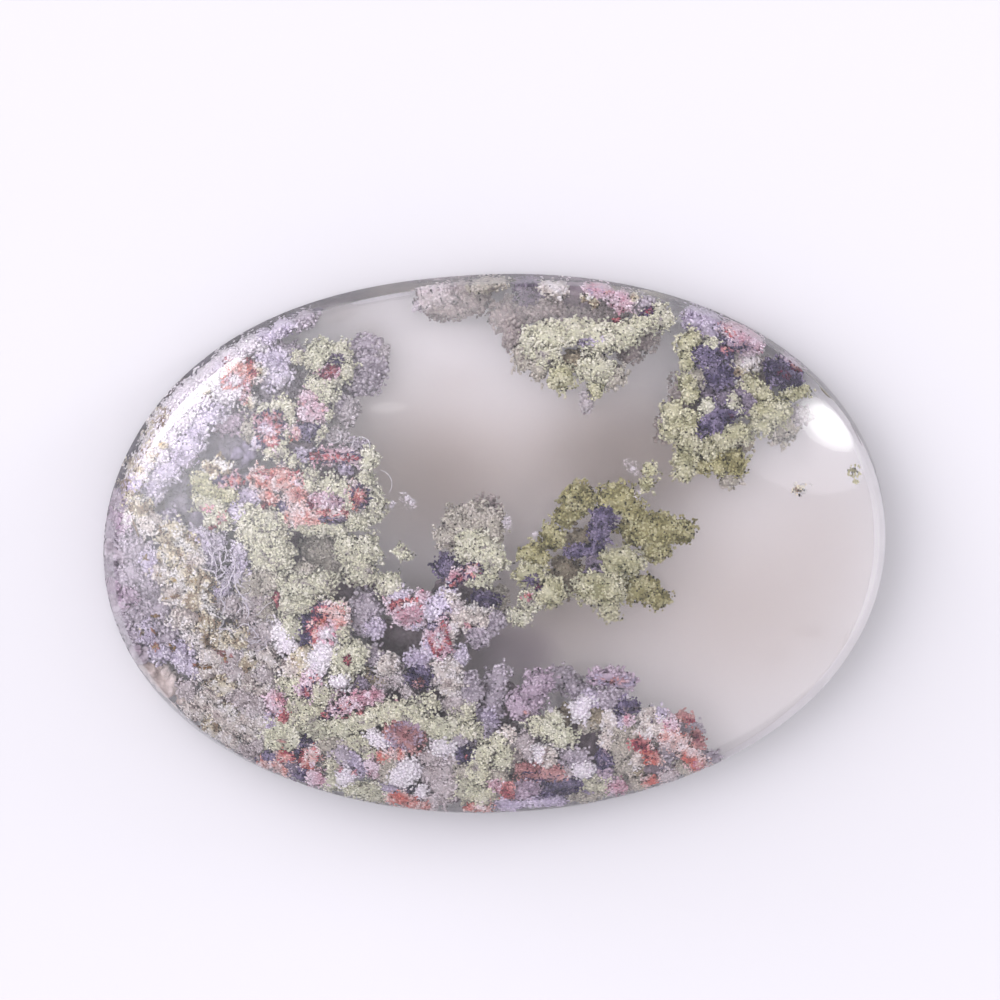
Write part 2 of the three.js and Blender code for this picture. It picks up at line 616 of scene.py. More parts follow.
def rough_skin(directions, middle, half, frame, size=1.0):
    """Points on a lobe's skin: the ellipsoid, pushed out along its own direction by a coarse and a fine
    field, whose absolute values make round bulges with sharp creases. Returns the points, the outward
    directions and how far the crumbs stand out, 0 to 1."""
    smooth = middle + (directions * half * size) @ frame
    outward = unit((directions / half) @ frame)
    bulge = np.clip(np.abs(field(smooth, BULGES)), 0, BULGE_MOST) / BULGE_MOST
    floret = np.clip(np.abs(field(smooth, FLORETS)), 0, FLORET_MOST) / FLORET_MOST
    reach = np.minimum(1.0, half.min() * SMALL_LOBE)
    rise = (bulge - MEAN_RISE) * BULGE + (floret - MEAN_RISE) * FLORET
    return smooth + outward * (rise * reach)[:, None], outward, BULGE_PART * bulge + FLORET_PART * floret


# A crumb lies inside another lobe where it is within this share of its size.
INSIDE_SHARE = 0.90


def covered(points, owner, middles, halves, frames):
    """True for points that lie inside another lobe."""
    inside = np.zeros(len(points), bool)
    for lobe in range(len(middles)):
        local = (points - middles[lobe]) @ frames[lobe].T / (halves[lobe] * INSIDE_SHARE)
        inside |= ((local**2).sum(-1) < 1) & (owner != lobe)
    return inside


def turned_back(dx, dy, turn):
    """How far a step goes along and across an oval that is turned by some degrees."""
    angle = math.radians(turn)
    return dx * math.cos(angle) + dy * math.sin(angle), dy * math.cos(angle) - dx * math.sin(angle)


# A heart has an edge as ragged as this and goes no deeper than this. Out to the first share of its reach it
# has its inner kind's tones. Over the next share they run to its rim's, with this bend and this spread by
# chance, and darken by this much.
HEART_RAGGED = 0.10
HEART_DEPTH = 1.1
HEART_MIDDLE, HEART_SPAN, HEART_BEND = 0.25, 0.55, 1.6
HEART_SPREAD = 0.09
RIM_DARK = 0.6
# Past this share a heart's crumbs are hairs along its spokes.
HAIR_FROM = 0.45


def heart_shares(points, hearts):
    """For each crumb the heart that it belongs to, or -1, how far out in it the crumb lies, 0 to 1, and its
    spoke, the direction across and up from the middle of the heart."""
    across, down = pixels_of(points)
    ragged = field(points, FRINGES) * HEART_RAGGED
    heart = np.full(len(points), -1)
    reach = np.zeros(len(points))
    spoke = np.zeros((len(points), 2))
    for number, (u, v, half_u, half_v, turn, _, _) in enumerate(hearts):
        du, dv = across - u, v - down
        along, aside = turned_back(du, dv, turn)
        out = np.hypot(along / half_u, aside / half_v) + ragged
        belongs = (out < 1.0) & (points[:, 2] > -HEART_DEPTH)
        heart[belongs] = number
        reach[belongs] = np.clip(out[belongs], 0, 1)
        spoke[belongs] = np.stack([du, dv], -1)[belongs] / np.maximum(np.hypot(du, dv), TINY)[belongs, None]
    return heart, reach, spoke


def kind_tones(kinds, mix):
    """Colours between the dark, the middle and the light tone of each kind, for a mix from 0 to 1."""
    light, middle, dark = KIND_TONES[kinds, 0], KIND_TONES[kinds, 1], KIND_TONES[kinds, 2]
    low, high = np.clip(mix * 2, 0, 1)[:, None], np.clip(mix * 2 - 1, 0, 1)[:, None]
    return dark + (middle - dark) * low + (light - middle) * high


def heart_tones(inner, outer, share, mix):
    """Colours from the inner kind to the outer one. If both are on the heart scale, the colours run through
    every kind between them."""
    if inner in HEART_SCALE and outer in HEART_SCALE:
        first, last = HEART_SCALE.index(inner), HEART_SCALE.index(outer)
        way, names = first + (last - first) * share, HEART_SCALE
    else:
        way, names = share, (inner, outer)
    stops = np.array([KIND_NAMES.index(name) for name in names])
    low = np.minimum(way.astype(int), len(stops) - 2)
    near, far = kind_tones(stops[low], mix), kind_tones(stops[low + 1], mix)
    return near + (far - near) * (way - low)[:, None]


# A crumb's tone on its kind's scale: the least, the rise with the bulge, which is painted light on the
# bulges, and the spread by chance.
TONE_LEAST, TONE_RISE, TONE_SPREAD = 0.12, 0.95, 0.10
# Creases get painted shade, darker by up to the first share, where the bulge is less than the second. Pits,
# dark crumbs of painted shade, keep this share.
CREASE_SHADE, CREASE_MOST = 0.60, 0.40
PIT_SHADE = 0.12


def crumb_colours(points, kinds, bulge, hearts, chance):
    """The crumbs' colours: painted light on the bulges, painted shade in the creases, blended outwards
    through the hearts, and now and then the painted shade of a pit. Also returns the spokes of the crumbs
    that are hairs in a heart's rim, and which crumbs are pits."""
    count = len(points)
    swing = KIND_SWING[kinds] * field(points, PATCHES)
    mix = np.clip(TONE_LEAST + TONE_RISE * bulge + chance.normal(0, TONE_SPREAD, count) + swing, 0, 1)
    colours = kind_tones(kinds, mix)
    pits = KIND_PITS[kinds]
    hairs = np.zeros((count, 3))
    if hearts:
        heart, reach, spoke = heart_shares(points, hearts)
        for number, row in enumerate(hearts):
            held = heart == number
            way = (reach[held] - HEART_MIDDLE) / HEART_SPAN + chance.normal(0, HEART_SPREAD, held.sum())
            share = np.clip(way, 0, 1)
            tone = mix[held] * (1 - RIM_DARK * share**2)
            colours[held] = heart_tones(row[5], row[6], share**HEART_BEND, tone)
            pits[held] = KIND_PITS[KIND_NAMES.index(row[6])]
        rim = (heart >= 0) & (reach > HAIR_FROM)
        hairs[rim] = spoke[rim, :1] * RIGHT + spoke[rim, 1:] * UP
    painted_crease_shade = np.clip(1 - bulge / CREASE_MOST, 0, 1) * (pits > 0)
    colours *= 1 - CREASE_SHADE * painted_crease_shade[:, None]
    # Pits are dark crumbs of painted shade, most often in the creases.
    dark = chance.random(count) < pits * (2.0 - 2.0 * bulge)
    colours[dark] *= PIT_SHADE
    return colours, hairs, dark


# Where the dome cuts a crumb, its top is flat, between these two depths.
CUT_LEAST, CUT_MOST = 0.022, 0.046
# The half axes of a crumb differ from its radius by these factors, and those of a hair also by its shape. A
# hair strays from its spoke by this much.
AXIS_LEAST, AXIS_MOST = 0.75, 1.25
HAIR_SHAPE = np.array([1.5, 0.72, 0.72])
HAIR_STRAY = 0.25
# A crumb is an octahedron: the vertices, in its own frame, and the faces, turned outwards.
CRUMB_POINTS = np.array([[1, 0, 0], [-1, 0, 0], [0, 1, 0], [0, -1, 0], [0, 0, 1], [0, 0, -1]], float)
CRUMB_FACES = np.array(
    [[0, 2, 4], [2, 1, 4], [1, 3, 4], [3, 0, 4], [2, 0, 5], [1, 2, 5], [3, 1, 5], [0, 3, 5]]
)


def cut_flat(vertices, depths):
    """Crumb vertices over a depth under the dome, which differs from crumb to crumb, are moved down to it
    along the dome's normal."""
    x, y, z = vertices[..., 0], vertices[..., 1], vertices[..., 2]
    normal = dome_normal(x, y)
    over = (z - dome_height(x, y)) * normal[..., 2] + depths[:, None]
    above = (over > 0) & (z > SHOULDER_HEIGHT)
    return vertices - normal * np.where(above, over, 0.0)[..., None]


def crumbs(places, radius, colours, hairs, chance):
    """Octahedra: each vertex is the place plus the turned corner times the radius. A hair points along its
    spoke and is drawn out, and the others lie at random."""
    count = len(places)
    hair = (hairs**2).sum(-1, keepdims=True) > 0
    first = unit(hairs + chance.normal(size=(count, 3)) * np.where(hair, HAIR_STRAY, 1.0))
    second = unit(np.cross(first, chance.normal(size=(count, 3))))
    frames = np.stack([first, second, np.cross(first, second)], 1)
    uneven = chance.uniform(AXIS_LEAST, AXIS_MOST, (count, 3))
    sizes = radius[:, None] * uneven * np.where(hair, HAIR_SHAPE, 1.0)
    vertices = places[:, None] + np.einsum("pk,nkd->npd", CRUMB_POINTS, frames * sizes[..., None])
    vertices = cut_flat(vertices, chance.uniform(CUT_LEAST, CUT_MOST, count))
    faces = (np.arange(count) * len(CRUMB_POINTS))[:, None, None] + CRUMB_FACES
    return vertices.reshape(-1, 3), np.repeat(colours, len(CRUMB_POINTS), axis=0), faces.reshape(-1, 3)


# Corners of an icosahedron in a ball of radius one are neighbours where they are nearer than this.
NEIGHBOURS = 1.2


def ball_mesh(splits):
    """An icosahedron, whose corners are those of three golden rectangles, with each triangle split in four
    this many times and the corners put back on the ball."""
    golden = (1 + math.sqrt(5)) / 2
    rectangle = np.array([[x, y * golden, 0.0] for x in (-1, 1) for y in (-1, 1)])
    points = unit(np.concatenate([np.roll(rectangle, turn, axis=1) for turn in range(3)]))
    joined = np.linalg.norm(points[:, None] - points[None], axis=-1) < NEIGHBOURS
    i, j, k = np.nonzero(joined[:, :, None] & joined[:, None] & joined[None])
    faces = np.stack([i, j, k], -1)[(i < j) & (j < k)]
    for _ in range(splits):
        edges = np.sort(faces[:, [[0, 1], [1, 2], [2, 0]]], axis=-1).reshape(-1, 2)
        pairs, owner = np.unique(edges, axis=0, return_inverse=True)
        a, b, c = len(points) + owner.reshape(-1, 3).T
        i, j, k = faces.T
        points = np.concatenate([points, unit(points[pairs].sum(axis=1))])
        faces = np.concatenate([np.stack(part, -1) for part in ((i, a, c), (a, j, b), (c, b, k), (a, b, c))])
    corner = points[faces]
    normal = np.cross(corner[:, 1] - corner[:, 0], corner[:, 2] - corner[:, 0])
    inward = (normal * corner.sum(axis=1)).sum(-1) < 0
    faces[inward] = faces[inward][:, ::-1]
    return points, faces


# Crumbs cover a lobe's skin this many times over. A crumb faces away where its direction towards the camera
# is less than this, and then only a share of them stay.
SKIN_COVER = 1.3
REAR_FROM = -0.25
REAR_SHARE = 0.15
# Lobes of kinds with coarser crumbs than this lie deep and have none: only their smooth core shows, as a
# blur.
SOFT_RADIUS = 0.105


def lobe_skins(kinds, middles, halves, frames, chance):
    """The crumbs of all lobes, where they aren't inside another lobe: places, outward directions, bulges and
    owners. A crumb covers twice its radius squared of the skin."""
    skins = []
    for lobe, kind in enumerate(kinds):
        if KIND_RADIUS[kind] > SOFT_RADIUS:
            continue
        count = round(SKIN_COVER * skin_area(halves[lobe]) / (2 * KIND_RADIUS[kind] ** 2))
        directions = scattered_directions(count, chance)
        shown = (directions[:, 2] > REAR_FROM) | (chance.random(count) < REAR_SHARE)
        skin = rough_skin(directions[shown], middles[lobe], halves[lobe], frames[lobe])
        skins.append((*skin, np.full(shown.sum(), lobe)))
    points, outwards, bulges, owners = (np.concatenate(part) for part in zip(*skins))
    free = ~covered(points, owners, middles, halves, frames)
    return points[free], outwards[free], bulges[free], owners[free]


# A sprig has up to this many links, each a step long, whose heading wanders. It goes on by chance.
SPRIG_LINKS = 3
SPRIG_STEP = 0.075
SPRIG_WANDER = 0.45
SPRIG_GOES_ON = 0.6


def sprig_links(points, outwards, bulges, owners, share, chance):
    """Chains of crumbs that grow out of the chosen share of the points. Each link is a step on from the last
    in a direction that wanders, and a chain may end at each link. Returns the places, bulges and owners."""
    chosen = chance.random(len(points)) < share
    place, heading, bulge, owner = points[chosen], outwards[chosen], bulges[chosen], owners[chosen]
    links = [(points, bulges, owners)]
    for _ in range(SPRIG_LINKS):
        heading = unit(heading + chance.normal(0, SPRIG_WANDER, heading.shape))
        place = place + heading * SPRIG_STEP
        grows = chance.random(len(place)) < SPRIG_GOES_ON
        place, heading, bulge, owner = place[grows], heading[grows], bulge[grows], owner[grows]
        links.append((place, bulge, owner))
    return (np.concatenate(part) for part in zip(*links))


CLEARANCE = 0.05
CORE_BALL = ball_mesh(1)
SOFT_BALL = ball_mesh(3)
# Under the crumbs lies a smooth core, this share of the lobe's size and this much deeper, in this share of
# its tones, which is painted shade in the gaps between the crumbs. On its kind's scale these start at the
# least and rise with the bulge, which is painted light on the bulges.
CORE_SHARE = 0.95
CORE_DEPTH = 0.045
CORE_SHADE = 0.80
CORE_LEAST, CORE_RISE = 0.3, 0.4


def lobe_core(kind, middle, half, frame):
    """The smooth, lumpy body of one lobe, in the middle tones of its kind, lighter on its bulges as painted
    light and, but for soft lobes, darkened as painted shade of the gaps.
    """
    soft = KIND_RADIUS[kind] > SOFT_RADIUS
    ball, faces = SOFT_BALL if soft else CORE_BALL
    size, shade = (1.0, 1.0) if soft else (CORE_SHARE, CORE_SHADE)
    core, _, bulge = rough_skin(ball, middle, half, frame, size)
    swing = KIND_SWING[kind] * field(core, PATCHES)
    mix = np.clip(CORE_LEAST + CORE_RISE * bulge + swing, 0, 1)
    tones = kind_tones(np.full(len(core), kind), mix) * shade
    return into_stone(core, CLEARANCE + CORE_DEPTH), tones, faces


# An edge of a lobe is where its outward direction has less than this towards the camera. There the skin
# frays by this much, where the fringe field lies between these values, and a share of the fine crumbs grow a
# sprig. All skin is also uneven by a little.
EDGE_FROM = 0.7
FRAY = 0.15
FRINGE_LEAST, FRINGE_MOST = 0.3, 1.5
SPRIG_SHARE = 0.10
FINE_RADIUS = 0.09
UNEVEN = 0.02
# A crumb half way down the side of its lobe is darker than one on its top by this share, with this bend:
# painted shade on the lobe's sides.
SIDE_SHADE, SIDE_MOST, SIDE_BEND = 0.30, 1.2, 1.5
# A crumb's radius differs from its kind's by these factors, and a pit is smaller.
CRUMB_LEAST, CRUMB_MOST = 0.75, 1.3
PIT_SIZE = 0.75


def build_moss(name, rows, hearts, shade, material, seed):
    """One plume: a core for each lobe, crumbs all over its skin, and sprigs at its edges. Crumbs down the
    sides of a lobe get painted shade. Its tones are made darker or lighter by its shade."""
    chance = np.random.default_rng(seed)
    middles, halves, frames = lobe_frames(rows)
    kinds = np.array([KIND_NAMES.index(row[6]) for row in rows])
    points, outwards, bulges, owners = lobe_skins(kinds, middles, halves, frames, chance)
    edge = np.clip(1 - np.abs(outwards[:, 2]) / EDGE_FROM, 0, 1)
    fringe = np.clip(field(points, FRINGES) - FRINGE_LEAST, 0, FRINGE_MOST) * edge
    points = points + outwards * (fringe * FRAY + chance.normal(0, UNEVEN, len(points)))[:, None]
    fine = KIND_RADIUS[kinds[owners]] < FINE_RADIUS
    points, bulges, owners = sprig_links(points, outwards, bulges, owners, SPRIG_SHARE * edge * fine, chance)
    colours, hairs, dark = crumb_colours(points, kinds[owners], bulges, hearts, chance)
    tops = middles[owners, 2] + halves[owners, 2] * (1 - CUT_SHARE)
    side_shade_depth = (tops - points[:, 2]) / halves[owners, 2]
    colours *= 1 - SIDE_SHADE * np.clip(side_shade_depth, 0, SIDE_MOST)[:, None] ** SIDE_BEND
    factor = chance.uniform(CRUMB_LEAST, CRUMB_MOST, len(points))
    radius = KIND_RADIUS[kinds[owners]] * factor * np.where(dark, PIT_SIZE, 1.0)
    parts = [crumbs(into_stone(points, CLEARANCE), radius, colours, hairs, chance)]
    parts += [lobe_core(*lobe) for lobe in zip(kinds, middles, halves, frames)]
    return tinted_piece(name, parts, shade, material)


# Strands

STRAND_SIDES = 6
# A strand's radius is that of these shares of its length, so that its ends aren't points.
STRAND_START, STRAND_END = 0.04, 0.96
STRAND_BLUNT = 0.4
STRAND_CLEARANCE = 0.03


def smooth_path(nodes, steps=5):
    """A cubic curve through the nodes, with this many points to each stretch. At each node it runs parallel
    to the line between the node before and the node after."""
    before = np.vstack([2 * nodes[0] - nodes[1], nodes[:-1]])[: len(nodes) - 1]
    start, end = nodes[:-1], nodes[1:]
    after = np.vstack([nodes[2:], 2 * nodes[-1] - nodes[-2]])
    t = np.linspace(0, 1, steps, endpoint=False)[:, None, None]
    curve = 0.5 * (
        2 * start + (end - before) * t + (2 * before - 5 * start + 4 * end - after) * t**2
        + (3 * start - before - 3 * end + after) * t**3
    )
    return np.vstack([curve.transpose(1, 0, 2).reshape(-1, nodes.shape[1]), nodes[-1:]])


def strand_mesh(path, radius):
    """A round strand along a path of places in the stone: a circle at each point, square to the path, whose
    radius falls off towards both ends as sin(share of the length) ^ 0.4."""
    tangent = unit(np.gradient(path, axis=0))
    side = unit(np.cross(tangent, BACK))
    other = np.cross(tangent, side)
    share = np.linspace(STRAND_START, STRAND_END, len(path))
    girth = radius * np.sin(share * math.pi) ** STRAND_BLUNT
    turn = np.arange(STRAND_SIDES) * 2 * math.pi / STRAND_SIDES
    circle = np.cos(turn)[:, None] * side[:, None] + np.sin(turn)[:, None] * other[:, None]
    return closed_rings(path[:, None] + circle * girth[:, None, None], path[0], path[-1])


def build_strands(name, rows, material):
    """Strands through the stone. Each row has its nodes, in pixels across and down, its depth and radius in
    millimetres, and its sRGB colour."""
    parts = []
    for nodes, depth, radius, colour in rows:
        path = smooth_path(np.array(nodes, float))
        seen = under_dome(path[:, 0], path[:, 1], np.full(len(path), depth))
        vertices, faces = strand_mesh(pressed_in(seen, radius + STRAND_CLEARANCE), radius)
        parts.append((vertices, np.broadcast_to(inside_stone(colour), vertices.shape), faces))
    return tinted_piece(name, parts, 1.0, material)


FIBRE = (200, 192, 205)
PALE_FIBRE = (180, 172, 184)
# A random fibre has so many steps, each of some pixels, between which it turns by about this angle. It lies
# between these depths and has a radius between these two.
FIBRE_STEPS = (2, 6)
FIBRE_STEP_PIXELS = (3.5, 6.5)
FIBRE_WANDER = 0.7
FIBRE_DEPTHS = (0.10, 0.45)
FIBRE_RADII = (0.012, 0.022)


def wandering_strands(across, down, half_across, half_up, count, seed):
    """Rows of random strands that start in an oval, each wandering on by a few steps of some pixels."""
    chance = np.random.default_rng(seed)
    rows = []
    for _ in range(count):
        turn, reach = chance.uniform(0, 2 * math.pi), math.sqrt(chance.random())
        aside, above = half_across * reach * math.cos(turn), half_up * reach * math.sin(turn)
        spot = np.array([across + aside, down - above])
        heading = chance.uniform(0, 2 * math.pi)
        nodes = [spot]
        for _ in range(chance.integers(*FIBRE_STEPS)):
            heading += chance.normal(0, FIBRE_WANDER)
            step = chance.uniform(*FIBRE_STEP_PIXELS)
            spot = spot + np.array([math.cos(heading), math.sin(heading)]) * step
            nodes.append(spot)
        colour = PALE_FIBRE if chance.random() < 0.5 else FIBRE
        rows.append((nodes, chance.uniform(*FIBRE_DEPTHS), chance.uniform(*FIBRE_RADII), colour))
    return tuple(rows)


# The pale fibres of the gauzy net at the left. More start by chance in two ovals, each given by the pixels
# across and down of its middle, its half width and half height, how many it has, and its seed.
FIBRES = (
    (((201, 524), (205, 534), (210, 543), (215, 549), (219, 548), (223, 546)), 0.15, 0.023, FIBRE),
    (((207, 546), (210, 554), (212, 557), (211, 568)), 0.16, 0.025, FIBRE),
    (((215, 550), (213, 556), (212, 567)), 0.18, 0.023, FIBRE),
    (((201, 568), (207, 570), (214, 572), (217, 579), (219, 585)), 0.15, 0.027, FIBRE),
    (((225, 560), (230, 561), (234, 560), (233, 555)), 0.14, 0.025, FIBRE),
    (((235, 552), (235, 566), (234, 571), (231, 577), (228, 585), (223, 589), (220, 593)),
     0.15, 0.027, FIBRE),
    (((234, 571), (235, 579), (236, 587), (240, 594), (245, 598), (251, 602)), 0.15, 0.027, FIBRE),
    (((234, 573), (238, 580), (240, 585), (246, 589)), 0.20, 0.028, PALE_FIBRE),
    (((219, 556), (221, 561), (221, 567), (223, 571), (228, 571)), 0.20, 0.028, PALE_FIBRE),
    (((236, 614), (238, 611), (241, 608)), 0.14, 0.025, FIBRE),
    (((208, 613), (212, 614), (218, 617), (222, 619)), 0.18, 0.023, FIBRE),
    (((216, 629), (226, 629), (233, 631), (240, 633)), 0.14, 0.027, FIBRE),
    (((251, 627), (255, 632), (259, 638)), 0.18, 0.023, FIBRE),
    (((242, 600), (247, 606), (249, 613), (246, 619)), 0.22, 0.034, PALE_FIBRE),
    (((222, 590), (221, 598), (225, 606), (222, 614)), 0.20, 0.028, PALE_FIBRE),
    (((204, 552), (200, 558), (203, 566)), 0.24, 0.034, PALE_FIBRE),
)
FIBRE_NETS = ((222, 570, 18, 42, 26, 5), (248, 632, 24, 20, 34, 6))


ARC_STEPS = 12


def arc(across, down, radius, start, end):
    """Pixels along part of a circle, between two angles in degrees."""
    angles = np.radians(np.linspace(start, end, ARC_STEPS))
    return tuple(zip(across + radius * np.cos(angles), down - radius * np.sin(angles)))


# The thin pale rings where the cut goes through bubbles of moss.
RING = (192, 186, 194)
RINGS = (
    (arc(334, 436, 7, 150, 430), 0.10, 0.020, RING),
    (arc(361, 446, 9, -20, 230), 0.10, 0.020, RING),
    (arc(378, 484, 14, -40, 80), 0.10, 0.016, RING),
)

# The olive and the grey line along the right rim are painted shade: the dark edge that the dome's rim shows
# there. The brown line lies at the left.
OLIVE_RIM_SHADE = (122, 116, 98)
GREY_RIM_SHADE = (158, 151, 158)
BROWN_LINE = (112, 96, 78)
STRAY_AND_RIM_SHADE_LINES = (
    (((797, 363), (815, 380), (825, 392), (837, 403)), 0.25, 0.080, OLIVE_RIM_SHADE),
    (((836, 402), (846, 416), (855, 431), (862, 445)), 0.22, 0.050, GREY_RIM_SHADE),
    (((132, 518), (135, 526), (139, 537)), 0.08, 0.045, BROWN_LINE),
)


# The smoke and the painted shade in the clear stone

# Each row is a swelling of a sheet: the pixels across and down of its middle, its half width and half
# height in pixels, its turn in degrees, how deep it lies and how thick it is there, in millimetres. The
# brown rows are partly the stone's own cloudy patches, such as the small ones near the edges, and partly
# painted shade that darkens the clear stone.
SMOKE_AND_SHADE = (
    (430, 470, 110, 75, -8, 3.0, 2.50),
    (620, 455, 120, 60, 0, 3.0, 3.30),
    (420, 480, 50, 50, 0, 3.0, 0.60),
    (450, 374, 36, 22, 0, 3.0, 0.40),
    (560, 600, 130, 80, 20, 3.0, 2.00),
    (740, 610, 150, 120, 0, 3.0, 1.10),
    (825, 520, 70, 100, 0, 3.0, 0.45),
    (458, 650, 28, 24, 0, 3.0, 3.00),
    (400, 635, 30, 16, 0, 3.0, 0.80),
    (412, 590, 26, 18, 0, 3.0, 0.80),
    (366, 336, 17, 22, 0, 2.0, 1.10),
    (332, 302, 20, 8, 15, 1.4, 1.30),
    (852, 641, 16, 9, 18, 1.0, 1.00),
    (812, 634, 26, 6, -22, 1.6, 0.60),
    (775, 655, 12, 9, 0, 1.6, 0.40),
)
# The violet rows are painted shade: soft violet shadows deep in the stone, between and under the plumes.
VIOLET_SHADE = (
    (490, 646, 40, 26, 0, 4.2, 0.60),
    (532, 652, 26, 24, 20, 4.2, 0.45),
    (527, 674, 12, 14, 0, 4.2, 0.20),
    (512, 708, 14, 22, 20, 3.6, 0.50),
    (562, 706, 16, 18, 0, 3.6, 0.20),
    (235, 448, 30, 18, 0, 3.6, 0.30),
    (178, 500, 16, 22, 0, 3.0, 0.30),
)
# Each sheet, of smoke and painted shade or of painted shade alone: its name and its rows, its level and its
# greatest thickness as shares of the stone's height, its colour, its density, and the milky share of light
# that it sends back.
SMOKE_AND_SHADE_SHEETS = (
    ("smoke_and_shade", SMOKE_AND_SHADE, 0.58, 0.70, (0.745, 0.70, 0.66), 680.0, 0.07),
    ("violet_shade", VIOLET_SHADE, 0.12, 0.20, (0.62, 0.55, 0.66), 2000.0, 0.0),
)
# Light passes the faces of the sheets unbent.
SHEET_IOR = 1.0
SHEET_ROUGHNESS = 0.0
# The rings and turns of a sheet, its reach as a share of the shoulder's radius, and its least thickness.
SHEET_RINGS = 60
SHEET_TURNS = 200
SHEET_REACH = 0.955
SHEET_LEAST = 0.02


def sheet_thickness(x, y, rows, most_share):
    """How thick a sheet is: the sum over its rows of thickness * exp(-2 r ^ 2), with r the distance from the
    row's middle in half widths, levelled off by tanh under a share of the stone's height."""
    thick = np.zeros_like(x)
    for across, down, half_u, half_v, turn, depth, most in rows:
        middle = under_dome(np.array([across]), np.array([down]), np.array([depth]))[0]
        along, aside = turned_back(x - middle[0], y - middle[1], turn)
        along, aside = along * PIXELS_PER_MM / half_u, aside * PIXELS_PER_MM / half_v
        thick += most * np.exp(-2 * (along**2 + aside**2))
    room = dome_height(x, y) * most_share
    return SHEET_LEAST + room * np.tanh(thick / room)


def sheet_surface(rows, level_share, most_share):
    """A sheet at a share of the stone's height, nearly as wide as the oval, whose upper and lower faces
    stand half its thickness above and below it. The rings run outwards below and back inwards above."""
    share = np.linspace(0, SHEET_REACH, SHEET_RINGS + 1)[1:, None]
    turn = np.arange(SHEET_TURNS) * 2 * math.pi / SHEET_TURNS
    x, y = plan_ring(SHOULDER_RADIUS * share, turn)
    level = dome_height(x, y) * level_share
    half = sheet_thickness(x, y, rows, most_share) / 2
    lower = np.stack([x, y, level - half], -1)
    upper = np.stack([x, y, level + half], -1)[::-1]
    middle = HEIGHT * level_share
    middle_half = sheet_thickness(np.zeros(1), np.zeros(1), rows, most_share)[0] / 2
    poles = [0, 0, middle - middle_half], [0, 0, middle + middle_half]
    return closed_rings(np.concatenate([lower, upper]), *poles)


# Each row of a plume is a lobe: the pixels across and down of its middle, its half width and half height
# in pixels, its turn in degrees, how deep its top lies under the dome in millimetres, and its kind.
# Each row of its hearts is a patch where the dome cuts a lobe open: its middle, half width and half height
# in pixels, its turn in degrees, its inner kind and its rim's kind.

CENTRE_PLUME = (
    (577, 500, 16, 15, 0, 0.9, "olive"), (566, 515, 9, 9, 0, 0.9, "olive"),
    (617, 499, 19, 14, 0, 0.5, "olive"), (633, 512, 10, 9, 0, 0.6, "olive"),
    (640, 529, 20, 15, 0, 0.8, "olive"), (662, 530, 15, 14, 0, 0.9, "olive"),
    (683, 531, 12, 10, 0, 1.0, "olive"), (657, 551, 12, 9, 0, 1.1, "olive"),
    (622, 562, 22, 12, -10, 0.3, "leaf"), (600, 588, 24, 17, 0, 0.3, "leaf"),
    (609, 609, 9, 10, 0, 0.5, "leaf"), (640, 588, 20, 12, 0, 1.0, "olive"),
    (658, 598, 10, 8, 0, 1.1, "olive"), (551, 539, 10, 11, 0, 0.8, "olive"),
    (534, 556, 12, 11, 0, 0.7, "olive"), (530, 575, 14, 10, 0, 0.4, "leaf"),
    (550, 592, 14, 14, 30, 0.4, "leaf"), (519, 617, 8, 9, -30, 0.3, "sage"),
    (530, 602, 10, 9, -30, 0.3, "sage"), (605, 516, 9, 10, 0, 0.35, "violet"),
    (600, 532, 9, 8, 0, 0.6, "violet"), (584, 551, 20, 5, 8, 0.7, "violet"),
    (596, 566, 9, 9, 0, 0.5, "slate"), (583, 540, 15, 10, 0, 1.6, "umber"),
    (568, 575, 15, 18, 0, 1.5, "umber"),
)
CENTRE_HEARTS = (
    (531, 579, 10, 7, -20, "violet", "slate"), (538, 587, 4, 4, 0, "maroon", "violet"),
    (527, 597, 6, 5, 0, "blood", "rose"),
)

